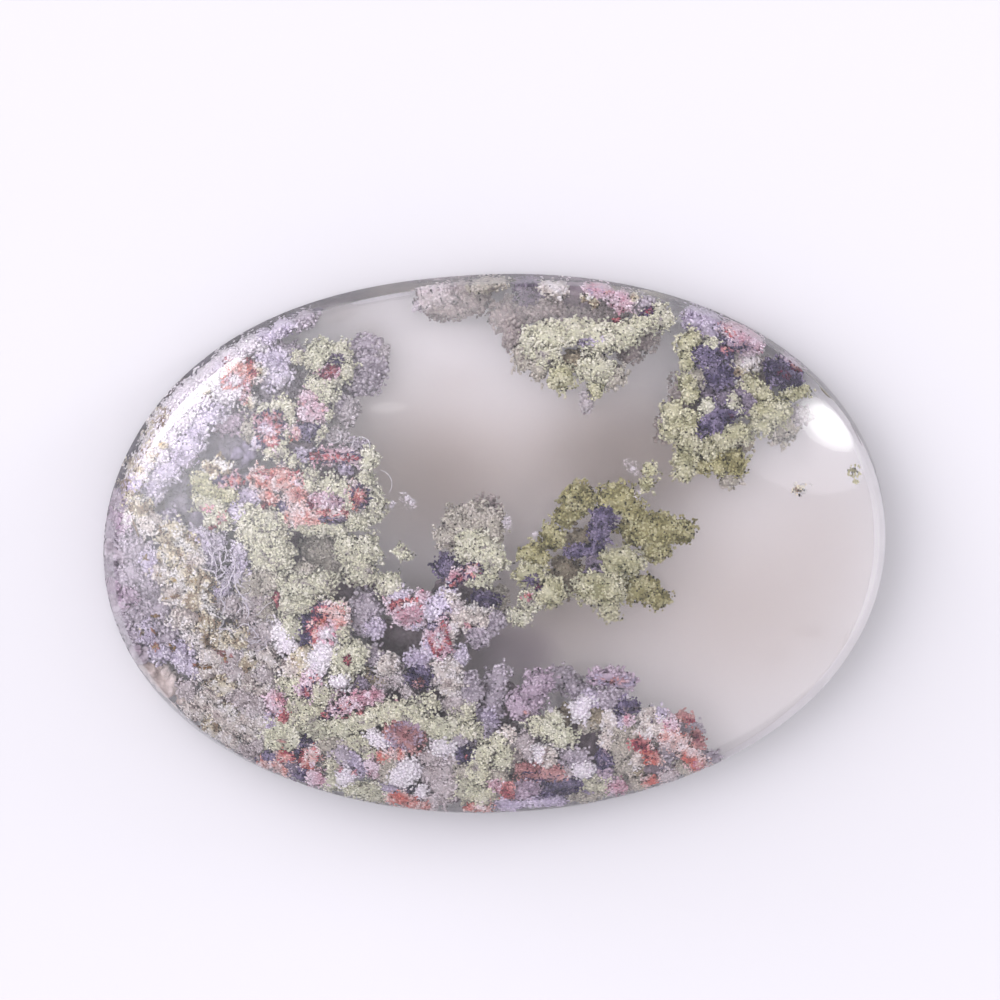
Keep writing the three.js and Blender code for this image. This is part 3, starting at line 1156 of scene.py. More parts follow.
UPPER_PLUME = (
    (446, 296, 14, 10, 0, 1.6, "bone"), (472, 300, 18, 14, 0, 1.6, "taupe"),
    (427, 299, 10, 8, 20, 1.5, "bone"), (435, 310, 12, 8, -10, 1.8, "taupe"),
    (454, 310, 13, 9, 10, 1.8, "taupe"), (419, 305, 6, 5, 0, 1.7, "ash"),
    (486, 285, 20, 7, 8, 0.4, "grey sage"), (512, 316, 20, 15, 0, 1.5, "taupe"),
    (545, 310, 22, 12, 0, 1.5, "taupe"), (514, 337, 10, 14, 0, 1.4, "taupe"),
    (528, 292, 12, 13, 0, 1.3, "slate"), (553, 289, 14, 8, -5, 0.3, "cream"),
    (580, 297, 14, 13, 0, 2.0, "dusk"), (598, 291, 16, 7, -6, 0.3, "rose"),
    (621, 301, 11, 9, -20, 0.3, "rose"), (586, 298, 5, 4, 0, 0.2, "straw"),
    (594, 303, 5, 4, 0, 0.2, "straw"), (634, 298, 5, 5, 0, 0.3, "straw"),
    (646, 305, 10, 7, -20, 0.8, "ash"), (549, 334, 20, 13, 0, 0.3, "sage"),
    (531, 340, 10, 10, 0, 0.5, "sage"), (575, 331, 16, 12, 0, 0.3, "sage"),
    (597, 338, 20, 15, 0, 0.3, "sage"), (622, 334, 18, 13, 10, 0.3, "sage"),
    (642, 325, 12, 9, 20, 0.4, "sage"), (659, 318, 13, 11, 10, 0.4, "sage"),
    (523, 357, 7, 14, 0, 0.9, "grey sage"), (545, 355, 14, 10, 0, 0.5, "sage"),
    (561, 377, 11, 12, 0, 0.5, "leaf"), (597, 370, 20, 14, 0, 0.4, "sage"),
    (614, 376, 10, 10, 0, 0.6, "grey sage"), (596, 389, 7, 7, 0, 0.5, "leaf"),
    (578, 361, 14, 9, 0, 1.0, "umber"), (588, 402, 5, 9, 0, 0.9, "ghost"),
    (631, 352, 12, 9, 20, 1.6, "taupe"), (648, 340, 10, 7, 20, 1.5, "taupe"),
    (540, 368, 9, 8, 0, 0.8, "grey sage"),
)
UPPER_HEARTS = (
    (616, 319, 5, 4, 0, "blood", "maroon"), (648, 312, 9, 4, 30, "maroon", "violet"),
    (586, 342, 9, 5, 0, "violet", "lilac"), (600, 339, 5, 4, 0, "cloud", "lilac"),
    (597, 290, 10, 4, 0, "rose", "lavender"), (607, 292, 4, 4, 0, "salmon", "rose"),
    (624, 304, 3, 3, 0, "maroon", "rose"),
)

UPPER_RIGHT_PLUME = (
    (697, 319, 13, 11, 0, 0.8, "lavender"), (712, 326, 13, 11, 0, 0.7, "lavender"),
    (742, 338, 20, 14, -35, 0.2, "rose"), (706, 354, 15, 9, -10, 0.15, "violet"),
    (722, 352, 10, 8, 0, 0.2, "violet"), (732, 343, 10, 8, -20, 0.3, "violet"),
    (719, 376, 14, 13, 0, 0.2, "violet"), (690, 343, 11, 11, 0, 0.3, "leaf"),
    (688, 358, 9, 11, 0, 0.4, "leaf"), (711, 343, 8, 4, 0, 0.1, "sage"), (688, 383, 9, 8, 0, 0.5, "leaf"),
    (690, 395, 8, 7, 0, 0.4, "leaf"), (703, 374, 8, 10, 0, 0.5, "grey sage"),
    (708, 394, 9, 7, 0, 0.8, "slate"), (722, 403, 7, 11, 0, 0.5, "slate"),
    (716, 421, 22, 9, 25, 0.15, "violet"), (707, 408, 8, 6, 0, 0.3, "sage"),
    (735, 404, 7, 8, 0, 0.3, "sage"), (745, 398, 8, 11, 30, 0.4, "slate"),
    (745, 362, 16, 9, 0, 0.7, "cream"), (738, 372, 10, 8, 0, 0.7, "straw"),
    (751, 385, 9, 9, 0, 0.4, "leaf"), (763, 394, 8, 7, 0, 0.4, "leaf"),
    (783, 373, 20, 13, -25, 0.3, "violet"), (793, 362, 12, 7, -35, 0.4, "mauve"),
    (759, 408, 12, 10, 0, 0.5, "leaf"), (775, 410, 14, 12, 0, 0.5, "leaf"),
    (795, 393, 13, 6, 10, 0.5, "leaf"), (782, 429, 15, 14, 0, 1.4, "grey sage"),
    (797, 415, 9, 9, 0, 1.5, "ghost"), (762, 424, 12, 9, 0, 0.9, "leaf"), (672, 411, 11, 9, 0, 0.3, "leaf"),
    (674, 427, 13, 11, 0, 0.3, "leaf"), (690, 424, 12, 12, 0, 0.3, "leaf"),
    (688, 443, 12, 12, 0, 0.4, "leaf"), (686, 461, 11, 10, 0, 0.5, "leaf"),
    (684, 474, 8, 6, 0, 0.6, "leaf"), (707, 446, 12, 12, 0, 0.5, "leaf"), (722, 440, 12, 9, 0, 0.4, "leaf"),
    (737, 432, 13, 9, 0, 0.4, "leaf"), (720, 461, 10, 10, 0, 0.8, "olive"),
    (736, 462, 10, 13, 0, 1.0, "olive"), (730, 478, 8, 7, 0, 1.2, "grey sage"),
    (704, 465, 9, 8, 0, 0.9, "olive"), (713, 450, 14, 10, 0, 1.3, "umber"),
    (740, 443, 12, 8, 0, 1.4, "umber"), (681, 392, 9, 18, 0, 1.8, "taupe"),
    (668, 425, 9, 16, 0, 1.8, "taupe"), (697, 400, 20, 24, 0, 2.4, "dusk"),
    (735, 385, 26, 22, 0, 2.0, "dusk"), (764, 372, 16, 14, 0, 1.4, "taupe"),
)
UPPER_RIGHT_HEARTS = (
    (726, 350, 8, 6, 0, "blood", "violet"), (742, 346, 14, 5, -10, "violet", "mauve"),
    (731, 331, 8, 5, -50, "salmon", "blood"), (737, 341, 5, 5, 0, "mauve", "rose"),
    (783, 373, 12, 7, -25, "maroon", "violet"), (796, 366, 8, 5, -40, "brick", "maroon"),
    (730, 416, 5, 4, 0, "maroon", "violet"),
)

MIDDLE_PLUME = (
    (459, 520, 16, 14, 0, 0.7, "grey sage"), (478, 518, 16, 14, 0, 0.7, "grey sage"),
    (492, 527, 12, 15, 0, 0.7, "grey sage"), (449, 537, 12, 10, 0, 0.6, "grey sage"),
    (484, 509, 12, 9, 0, 1.4, "taupe"), (467, 540, 14, 10, 0, 0.5, "sage"),
    (478, 549, 15, 12, 0, 0.2, "sage"), (492, 560, 13, 11, 0, 0.2, "sage"),
    (466, 552, 10, 8, 0, 0.3, "sage"), (448, 567, 11, 9, 0, 0.9, "violet"),
    (477, 579, 10, 6, 0, 0.2, "sage"), (462, 574, 14, 7, 30, 0.2, "rose"), (490, 574, 7, 8, 0, 0.3, "sage"),
    (452, 588, 5, 6, 0, 0.2, "lilac"), (442, 605, 12, 12, 0, 0.2, "lilac"),
    (450, 597, 6, 12, 0, 0.2, "cream"), (436, 610, 9, 8, 0, 0.2, "lilac"), (458, 608, 8, 7, 0, 0.2, "bone"),
    (464, 616, 12, 9, 0, 0.2, "cream"), (478, 618, 16, 11, 0, 0.3, "cream"),
    (493, 620, 10, 10, 0, 0.4, "ash"), (478, 633, 12, 8, 0, 0.3, "ash"), (479, 641, 7, 7, 0, 0.4, "ash"),
    (484, 602, 12, 9, 0, 0.8, "violet"), (498, 601, 8, 14, 0, 1.3, "grey sage"),
    (440, 638, 12, 19, -10, 0.15, "rose"), (431, 650, 6, 9, 0, 0.3, "lilac"),
    (451, 632, 5, 10, 0, 0.3, "cream"), (389, 584, 11, 10, 0, 0.3, "sage"),
    (397, 596, 9, 7, 0, 0.3, "lilac"), (422, 596, 6, 7, 0, 0.2, "rose"), (408, 612, 16, 14, 0, 0.2, "rose"),
    (393, 606, 7, 8, 0, 0.3, "rose"), (414, 625, 8, 5, 0, 0.4, "lilac"), (368, 604, 15, 13, 0, 0.9, "ash"),
    (362, 622, 14, 12, 0, 1.0, "ash"), (375, 628, 10, 8, 0, 0.8, "lavender"),
    (388, 664, 10, 11, 0, 0.4, "cream"), (374, 655, 6, 9, 0, 0.7, "ash"),
    (396, 677, 13, 11, 0, 0.9, "bone"), (376, 684, 9, 8, 0, 1.0, "bone"), (407, 692, 6, 8, 0, 0.5, "bone"),
    (416, 659, 10, 9, 0, 0.3, "lavender"), (418, 676, 10, 12, 0, 0.3, "violet"),
    (447, 668, 14, 13, 0, 0.4, "cream"), (461, 655, 6, 9, 0, 0.4, "lilac"),
    (451, 684, 10, 9, 0, 0.3, "cream"), (437, 678, 7, 9, 0, 0.5, "bone"), (470, 690, 10, 17, 0, 0.6, "ash"),
    (455, 703, 11, 12, 0, 0.5, "bone"), (403, 552, 6, 9, 25, 0.15, "sage"),
)
MIDDLE_HEARTS = (
    (473, 570, 12, 8, 10, "rose", "violet"), (461, 578, 7, 5, 30, "blood", "violet"),
    (453, 585, 6, 4, 30, "blood", "violet"), (439, 638, 10, 17, -10, "cloud", "blood"),
    (432, 626, 5, 5, 0, "lavender", "violet"), (408, 606, 15, 8, 15, "cloud", "blood"),
    (410, 616, 12, 9, 0, "rose", "rose"), (393, 605, 4, 5, 0, "blood", "maroon"),
    (418, 683, 8, 8, 0, "brick", "violet"), (468, 626, 4, 3, 0, "salmon", "rose"),
    (486, 604, 5, 4, 0, "violet", "slate"),
)

UPPER_LEFT_PLUME = (
    (301, 357, 7, 6, 0, 0.2, "sage"), (319, 352, 12, 12, 0, 0.15, "pale sage"),
    (315, 363, 8, 6, 0, 0.2, "sage"), (340, 351, 10, 7, 0, 0.3, "sage"), (336, 362, 9, 9, 0, 0.2, "sage"),
    (346, 370, 7, 11, 0, 0.3, "sage"), (331, 371, 11, 7, 35, 0.1, "rose"),
    (322, 386, 14, 11, 0, 0.2, "sage"), (327, 396, 8, 6, 0, 0.2, "pale sage"),
    (366, 349, 15, 12, 0, 0.9, "ash"), (372, 366, 14, 12, 0, 0.9, "ash"),
    (378, 352, 9, 10, 0, 1.0, "ghost"), (357, 381, 14, 12, 0, 0.9, "ash"), (371, 381, 10, 9, 0, 1.1, "ash"),
    (345, 411, 12, 12, 0, 0.9, "ghost"), (336, 404, 10, 9, 0, 0.8, "ash"), (309, 399, 8, 8, 0, 0.2, "rose"),
    (312, 414, 13, 11, 0, 0.15, "rose"), (309, 430, 12, 7, 0, 0.2, "violet"),
    (321, 431, 6, 6, 0, 0.2, "sage"), (328, 415, 4, 4, 0, 0.2, "sage"), (296, 434, 5, 6, 0, 0.15, "salmon"),
    (236, 370, 15, 10, -20, 0.15, "salmon"), (250, 371, 7, 12, 0, 0.15, "salmon"),
    (230, 388, 18, 14, 20, 0.1, "cloud"), (245, 390, 5, 12, 0, 0.15, "rose"),
    (259, 372, 5, 6, 0, 0.2, "straw"), (251, 402, 6, 6, 0, 0.2, "straw"), (208, 391, 6, 5, 0, 0.2, "straw"),
    (271, 360, 17, 12, 0, 0.5, "lilac"), (275, 376, 15, 12, 0, 0.5, "lilac"),
    (250, 348, 18, 8, 15, 0.5, "cloud"), (290, 352, 9, 8, 0, 0.9, "ash"),
    (210, 414, 20, 11, 20, 0.4, "lilac"), (228, 421, 20, 11, 0, 0.9, "mauve"),
    (190, 441, 14, 14, 0, 0.3, "lilac"), (182, 456, 14, 11, 0, 0.4, "lavender"),
    (198, 428, 12, 10, 0, 0.4, "lilac"), (272, 393, 15, 8, 0, 1.1, "ash"), (256, 412, 14, 9, 0, 1.2, "ash"),
    (282, 405, 11, 6, 0, 0.2, "sage"), (289, 414, 6, 10, 0, 0.2, "sage"), (266, 412, 9, 6, 15, 0.2, "sage"),
    (251, 431, 6, 12, 0, 0.2, "grey sage"), (257, 442, 6, 6, 0, 0.2, "lilac"),
    (277, 451, 9, 8, 0, 0.2, "sage"), (283, 437, 6, 8, 0, 0.2, "sage"), (269, 429, 16, 19, 0, 0.1, "rose"),
    (297, 449, 14, 7, 10, 0.8, "dusk"), (303, 455, 9, 6, 0, 0.3, "lavender"),
    (334, 457, 29, 7, -2, 0.15, "rose"), (293, 461, 5, 6, 0, 0.2, "sage"),
    (368, 459, 8, 10, 0, 0.2, "sage"), (345, 468, 7, 5, 0, 0.3, "lavender"),
    (361, 446, 8, 6, 0, 0.7, "ash"), (334, 436, 7, 7, 0, 0.8, "ghost"), (346, 440, 6, 6, 0, 0.9, "ghost"),
    (290, 385, 12, 14, 0, 1.6, "ash"), (240, 440, 20, 12, 0, 2.2, "haze"),
)
UPPER_LEFT_HEARTS = (
    (222, 363, 4, 4, 0, "maroon", "maroon"), (228, 358, 3, 3, 0, "maroon", "blood"),
    (249, 361, 4, 4, 0, "maroon", "blood"), (254, 373, 4, 4, 0, "blood", "maroon"),
    (235, 380, 14, 9, 20, "cloud", "salmon"), (245, 396, 3, 8, 0, "rose", "salmon"),
    (337, 360, 8, 7, 0, "violet", "slate"), (330, 372, 9, 6, 35, "blood", "maroon"),
    (269, 429, 15, 19, 0, "cloud", "violet"), (278, 417, 6, 8, 20, "blood", "violet"),
    (265, 428, 9, 8, 0, "lilac", "rose"), (271, 441, 9, 5, -10, "salmon", "blood"),
    (309, 428, 11, 5, 0, "lavender", "violet"), (303, 404, 3, 3, 0, "blood", "rose"),
    (322, 411, 3, 3, 0, "blood", "rose"), (334, 457, 29, 6, -2, "blood", "violet"),
    (318, 456, 8, 4, 0, "maroon", "blood"), (350, 458, 8, 3, 0, "maroon", "blood"),
    (297, 434, 4, 5, 0, "salmon", "rose"),
)

SALMON_BAND = (
    (228, 481, 15, 7, 5, 0.15, "rose"), (263, 479, 14, 11, 0, 0.15, "salmon"),
    (283, 480, 18, 10, 0, 0.15, "salmon"), (298, 484, 9, 8, 0, 0.2, "rose"),
    (268, 496, 8, 9, 0, 0.2, "salmon"), (296, 495, 12, 9, 0, 0.15, "salmon"),
    (297, 514, 15, 12, 0, 0.15, "salmon"), (315, 516, 15, 9, 0, 0.15, "salmon"),
    (334, 514, 15, 8, 0, 0.15, "salmon"), (328, 501, 20, 10, 0, 0.2, "rose"),
    (310, 481, 8, 10, 0, 0.2, "sage"), (334, 488, 14, 10, 0, 0.2, "sage"),
    (346, 496, 8, 12, 0, 0.2, "sage"), (359, 496, 10, 13, 0, 0.15, "salmon"),
    (374, 505, 9, 17, 0, 0.2, "sage"), (365, 480, 8, 8, 0, 0.2, "sage"), (355, 522, 10, 7, 0, 0.2, "sage"),
    (310, 528, 13, 6, 0, 0.2, "sage"), (335, 528, 15, 6, 0, 0.2, "sage"),
    (280, 508, 6, 6, 0, 0.3, "violet"), (207, 486, 14, 13, 0, 0.2, "leaf"),
    (218, 468, 12, 9, 0, 0.1, "straw"), (224, 494, 12, 9, 0, 0.2, "leaf"),
    (209, 505, 12, 9, 0, 0.2, "sage"), (246, 497, 16, 7, 0, 0.4, "lavender"),
    (219, 518, 12, 10, 0, 0.2, "sage"), (236, 512, 12, 9, 0, 0.3, "lilac"),
    (250, 516, 14, 12, 0, 0.2, "sage"), (270, 520, 16, 14, 0, 0.15, "sage"),
    (255, 534, 15, 11, 0, 0.2, "sage"), (272, 538, 14, 12, 0, 0.2, "sage"),
    (262, 553, 14, 12, 0, 0.2, "sage"), (279, 558, 14, 14, 0, 0.2, "sage"),
    (320, 550, 20, 17, 0, 1.5, "grey sage"), (330, 570, 14, 14, 0, 1.6, "grey sage"),
    (352, 553, 14, 14, 0, 0.2, "sage"), (368, 550, 12, 13, 0, 0.2, "sage"),
    (360, 570, 15, 14, 0, 0.2, "sage"), (345, 545, 8, 8, 0, 0.2, "sage"),
    (290, 588, 17, 15, 0, 0.2, "sage"), (309, 587, 18, 13, 0, 0.2, "sage"),
    (326, 583, 10, 10, 0, 0.3, "sage"), (290, 606, 12, 13, 0, 0.2, "sage"),
    (304, 604, 12, 10, 0, 0.2, "sage"), (292, 626, 11, 13, 0, 0.25, "sage"),
    (270, 580, 10, 12, 0, 0.4, "grey sage"), (304, 570, 10, 6, 0, 0.5, "grey sage"),
)
SALMON_HEARTS = (
    (229, 481, 15, 6, 0, "salmon", "violet"), (219, 481, 6, 4, 0, "violet", "violet"),
    (238, 481, 7, 4, 0, "salmon", "blood"), (266, 477, 4, 3, 0, "rose", "rose"),
    (298, 482, 7, 6, 0, "rose", "salmon"), (297, 495, 10, 7, 0, "brick", "salmon"),
    (278, 472, 24, 4, 0, "salmon", "blood"), (264, 505, 4, 4, 0, "blood", "maroon"),
    (360, 496, 10, 12, 0, "blood", "violet"), (359, 494, 5, 6, 0, "salmon", "blood"),
    (332, 520, 14, 5, 0, "violet", "slate"), (336, 501, 9, 6, 0, "rose", "mauve"),
    (310, 502, 3, 3, 0, "maroon", "maroon"), (338, 502, 3, 4, 0, "maroon", "violet"),
    (312, 506, 3, 3, 0, "maroon", "maroon"), (330, 513, 18, 3, 0, "salmon", "blood"),
    (208, 508, 6, 4, 0, "blood", "rose"), (222, 518, 5, 7, -30, "rose", "blood"),
    (213, 528, 4, 3, 0, "maroon", "blood"), (276, 600, 4, 9, 0, "blood", "maroon"),
    (285, 487, 4, 3, 0, "brick", "salmon"),
)

LEFT_RIM = (
    (155, 432, 9, 14, -20, 0.15, "straw"), (163, 415, 6, 9, -30, 0.15, "straw"),
    (148, 450, 9, 10, 0, 0.15, "straw"), (139, 468, 10, 14, 0, 0.2, "straw"),
    (130, 490, 9, 14, 0, 0.2, "straw"), (139, 508, 12, 12, 0, 0.2, "straw"),
    (148, 524, 11, 10, 0, 0.2, "cream"), (128, 516, 8, 12, 0, 0.3, "cream"),
    (166, 470, 14, 12, 0, 0.5, "lilac"), (152, 485, 12, 16, 0, 0.6, "lilac"),
    (176, 482, 13, 12, 0, 1.6, "haze"), (178, 502, 12, 12, 0, 1.8, "haze"),
    (165, 522, 15, 10, 0, 1.0, "lavender"), (124, 538, 9, 10, 0, 0.6, "ash"),
    (121, 556, 9, 10, 0, 0.7, "mist"), (135, 548, 12, 16, 0, 0.5, "ash"), (121, 576, 10, 11, 0, 0.6, "ash"),
    (134, 574, 13, 14, 0, 0.5, "ash"), (128, 596, 12, 11, 0, 0.6, "mauve"),
    (150, 560, 11, 12, 0, 0.4, "lilac"), (150, 590, 14, 14, 0, 0.5, "ash"),
    (142, 612, 14, 12, 0, 0.6, "ash"), (162, 610, 15, 12, 0, 0.5, "ash"),
    (148, 634, 13, 12, 0, 0.5, "lavender"), (168, 632, 15, 12, 0, 0.5, "ash"),
    (160, 652, 12, 10, 0, 0.5, "lilac"), (180, 652, 14, 11, 0, 0.4, "lilac"),
    (191, 666, 14, 9, -20, 0.4, "lilac"), (172, 534, 16, 11, 0, 0.2, "straw"),
    (184, 547, 17, 13, 0, 0.2, "straw"), (170, 556, 14, 11, 0, 0.2, "straw"),
    (192, 560, 12, 11, 0, 0.2, "cream"), (163, 572, 12, 10, 0, 0.3, "cream"),
    (182, 573, 16, 10, 0, 0.2, "straw"), (200, 580, 15, 10, 0, 0.2, "straw"),
    (176, 595, 14, 10, 0, 0.2, "cream"), (196, 601, 16, 12, 0, 0.2, "straw"),
    (186, 618, 16, 12, 0, 0.2, "cream"), (206, 622, 12, 12, 0, 0.2, "straw"),
    (198, 638, 14, 10, 0, 0.3, "cream"), (200, 537, 12, 9, 0, 0.4, "lilac"),
    (206, 548, 8, 12, 0, 0.5, "lavender"), (222, 640, 14, 11, 0, 0.2, "straw"),
    (214, 656, 13, 10, 0, 0.3, "cream"), (236, 640, 12, 12, 0, 0.2, "straw"),
    (230, 656, 14, 12, 0, 0.3, "bone"), (208, 672, 14, 9, -20, 0.3, "cream"),
    (222, 684, 17, 10, -25, 0.3, "straw"), (240, 698, 15, 10, -30, 0.3, "bone"),
    (232, 672, 14, 10, 0, 0.4, "bone"), (248, 682, 13, 12, 0, 0.4, "cream"),
    (246, 662, 13, 12, 0, 0.4, "straw"), (256, 706, 12, 10, -30, 0.3, "bone"),
    (252, 644, 13, 14, 0, 0.5, "bone"), (266, 658, 13, 14, 0, 0.5, "cream"),
    (262, 676, 12, 14, 0, 0.5, "bone"), (264, 694, 10, 12, 0, 0.4, "cream"),
    (262, 724, 10, 10, -30, 0.3, "cream"), (188, 690, 12, 7, -42, 0.3, "bone"),
    (202, 702, 13, 8, -38, 0.3, "cream"), (218, 714, 13, 8, -33, 0.3, "cream"),
    (234, 725, 13, 8, -30, 0.3, "cream"), (250, 736, 12, 8, -28, 0.3, "cream"),
    (214, 696, 12, 9, -35, 0.4, "cream"), (232, 710, 13, 9, -30, 0.4, "straw"),
    (248, 720, 12, 9, -30, 0.4, "cream"), (258, 744, 8, 6, -28, 0.2, "bone"),
    (206, 560, 11, 14, 0, 0.7, "lilac"), (222, 590, 10, 12, 0, 0.6, "lilac"),
    (240, 556, 9, 12, 0, 0.5, "lilac"), (226, 606, 12, 9, 0, 0.5, "bone"),
    (218, 540, 8, 8, 0, 0.8, "lilac"), (236, 575, 9, 10, 0, 1.0, "lavender"),
    (264, 632, 13, 14, 0, 0.5, "bone"), (250, 622, 12, 14, 0, 0.6, "bone"),
    (266, 612, 10, 14, 0, 0.5, "grey sage"), (255, 600, 12, 12, 0, 0.5, "bone"),
    (254, 586, 14, 12, 0, 0.4, "grey sage"), (244, 574, 10, 10, 0, 0.6, "lilac"),
    (118, 498, 7, 9, 0, 0.4, "mist"), (115, 514, 6, 8, 0, 0.5, "mauve"), (113, 528, 7, 9, 0, 0.5, "ash"),
    (111, 548, 7, 9, 0, 0.6, "mist"), (110, 566, 6, 9, 0, 0.5, "ash"), (113, 586, 7, 9, 0, 0.6, "mauve"),
    (117, 606, 8, 9, 0, 0.6, "mist"), (121, 621, 8, 9, 0, 0.5, "ash"), (128, 636, 9, 9, 0, 0.5, "ash"),
    (138, 654, 9, 8, 0, 0.5, "mist"), (194, 713, 10, 6, -38, 0.2, "cream"),
    (212, 727, 11, 6, -33, 0.2, "straw"), (230, 739, 11, 6, -30, 0.2, "cream"),
    (248, 750, 10, 6, -28, 0.2, "bone"),
)
LEFT_HEARTS = (
    (196, 581, 7, 4, 10, "ochre", "straw"), (159, 575, 4, 3, 0, "ochre", "straw"),
    (174, 580, 4, 3, 0, "ochre", "straw"), (145, 559, 3, 4, 0, "umber", "ochre"),
    (165, 598, 4, 3, 0, "ochre", "straw"), (175, 597, 5, 3, 0, "ochre", "straw"),
    (155, 616, 3, 3, 0, "ochre", "ochre"), (141, 632, 3, 4, 0, "ochre", "straw"),
    (154, 632, 5, 3, 0, "maroon", "ochre"), (155, 646, 3, 5, 0, "ochre", "brick"),
    (173, 648, 4, 4, 0, "ochre", "ochre"), (206, 640, 5, 7, 0, "ochre", "straw"),
    (217, 651, 4, 3, 0, "ochre", "brick"), (226, 656, 6, 6, 0, "ochre", "brick"),
    (197, 666, 5, 3, 0, "maroon", "ochre"), (207, 667, 4, 3, 0, "ochre", "ochre"),
    (158, 428, 4, 2, 0, "ochre", "straw"), (164, 427, 3, 3, 0, "umber", "straw"),
    (150, 448, 4, 3, 0, "ochre", "straw"), (163, 446, 4, 3, 0, "umber", "straw"),
    (122, 492, 3, 3, 0, "slate", "lavender"),
)

LOWER_LEFT = (
    (318, 612, 10, 8, 30, 0.15, "violet"), (310, 628, 9, 14, -20, 0.15, "violet"),
    (328, 613, 16, 10, 0, 0.1, "salmon"), (340, 619, 8, 10, 0, 0.15, "salmon"),
    (318, 630, 9, 13, -20, 0.1, "salmon"), (327, 636, 12, 12, 0, 0.15, "cloud"),
    (322, 654, 11, 12, 0, 0.2, "cloud"), (315, 668, 9, 12, 0, 0.2, "cloud"),
    (343, 634, 7, 9, 0, 0.2, "sage"), (338, 607, 7, 5, 0, 0.3, "sage"), (281, 632, 6, 10, 30, 0.2, "cloud"),
    (287, 645, 9, 9, -30, 0.2, "cloud"), (298, 656, 10, 9, 0, 0.2, "straw"),
    (292, 668, 10, 10, 0, 0.3, "cream"), (303, 668, 8, 10, 0, 0.3, "straw"),
    (347, 660, 16, 15, 0, 0.15, "pale sage"), (356, 650, 8, 8, 0, 0.2, "pale sage"),
    (339, 681, 10, 6, 0, 0.2, "cloud"), (290, 684, 12, 10, 0, 0.3, "sage"),
    (305, 688, 8, 10, 0, 0.2, "rose"), (312, 676, 8, 7, 0, 0.2, "rose"), (321, 692, 12, 9, 0, 0.3, "sage"),
    (334, 692, 9, 6, 0, 0.6, "rose"), (368, 684, 14, 12, 0, 1.0, "umber"),
    (362, 684, 9, 8, 0, 0.8, "slate"), (352, 703, 25, 7, 20, 0.1, "rose"),
    (372, 697, 10, 7, 20, 0.2, "rose"), (275, 703, 10, 9, 0, 0.15, "rose"),
    (270, 722, 8, 8, 0, 0.3, "lilac"), (262, 715, 6, 12, 0, 0.4, "cloud"),
    (284, 718, 7, 6, 0, 0.15, "blood"), (300, 708, 14, 12, 0, 0.2, "sage"),
    (292, 722, 14, 10, 0, 0.2, "sage"), (312, 716, 14, 10, 0, 0.2, "sage"),
    (318, 730, 18, 10, -15, 0.2, "pale sage"), (340, 728, 16, 9, 0, 0.2, "pale sage"),
    (362, 722, 16, 8, 10, 0.2, "sage"), (376, 715, 16, 8, 8, 0.2, "sage"),
    (396, 710, 16, 8, 8, 0.15, "sage"), (412, 709, 10, 8, 0, 0.15, "sage"),
    (426, 705, 12, 9, 0, 0.2, "sage"), (409, 719, 12, 7, -20, 0.15, "sage"),
    (424, 723, 13, 8, -10, 0.15, "sage"), (440, 729, 13, 11, -15, 0.15, "pale sage"),
    (461, 714, 12, 9, 0, 0.4, "sage"), (470, 731, 13, 7, -10, 0.3, "sage"),
    (456, 726, 8, 8, 0, 0.3, "sage"), (280, 732, 16, 13, 0, 0.1, "pale sage"),
    (288, 742, 14, 10, 0, 0.1, "pale sage"), (270, 742, 8, 8, 0, 0.15, "pale sage"),
    (306, 743, 9, 6, -10, 0.2, "violet"), (305, 728, 5, 14, 0, 0.7, "dusk"),
    (330, 744, 13, 10, 0, 0.3, "grey sage"), (340, 752, 9, 14, 40, 0.3, "ash"),
    (356, 764, 10, 14, 40, 0.3, "lavender"), (371, 766, 6, 11, 20, 0.2, "rose"),
    (355, 742, 12, 8, 0, 0.3, "sage"), (366, 752, 9, 12, 30, 0.3, "sage"),
    (285, 757, 11, 7, 0, 0.15, "salmon"), (296, 754, 8, 6, 0, 0.2, "violet"),
    (309, 757, 10, 12, -20, 0.1, "salmon"), (268, 757, 6, 6, 0, 0.15, "violet"),
    (265, 763, 5, 7, 0, 0.2, "salmon"), (280, 768, 12, 4, -32, 0.1, "salmon"),
    (292, 768, 10, 6, -20, 0.2, "slate"), (316, 778, 12, 8, -25, 0.1, "rose"),
    (301, 774, 8, 6, -20, 0.2, "violet"), (332, 766, 8, 8, 0, 0.3, "sage"),
    (331, 782, 7, 9, 0, 0.2, "pale sage"), (346, 776, 10, 9, 0, 0.1, "cloud"),
    (352, 789, 10, 5, -10, 0.2, "pale sage"), (368, 793, 18, 8, -12, 0.15, "pale sage"),
    (373, 736, 6, 8, 30, 0.15, "cloud"), (380, 743, 6, 5, 0, 0.15, "cloud"),
    (388, 760, 9, 9, 0, 0.3, "grey sage"), (405, 735, 19, 16, 0, 0.2, "brick"),
    (392, 742, 8, 10, 0, 0.3, "lavender"), (384, 756, 7, 6, 0, 0.2, "salmon"),
    (398, 753, 10, 7, 20, 0.2, "salmon"), (406, 770, 15, 12, 0, 0.15, "cloud"),
    (398, 780, 9, 8, 0, 0.2, "cloud"), (421, 792, 6, 6, 0, 0.15, "cloud"),
    (442, 747, 12, 10, 0, 0.3, "cloud"), (432, 758, 12, 10, 0, 0.4, "bone"),
    (438, 772, 16, 14, 0, 0.4, "bone"), (446, 788, 14, 14, 0, 0.4, "bone"),
    (434, 800, 12, 8, 0, 0.4, "bone"), (452, 758, 10, 10, 0, 0.5, "bone"),
    (466, 754, 8, 7, 0, 0.2, "violet"), (461, 740, 11, 9, 0, 0.5, "ash"),
    (400, 799, 15, 6, -12, 0.1, "salmon"), (418, 806, 14, 4, -8, 0.1, "salmon"),
    (390, 790, 12, 7, -15, 0.3, "lavender"), (385, 775, 8, 12, 0, 0.4, "grey sage"),
    (404, 788, 10, 6, 0, 0.5, "violet"), (460, 770, 8, 10, 0, 0.4, "grey sage"),
)
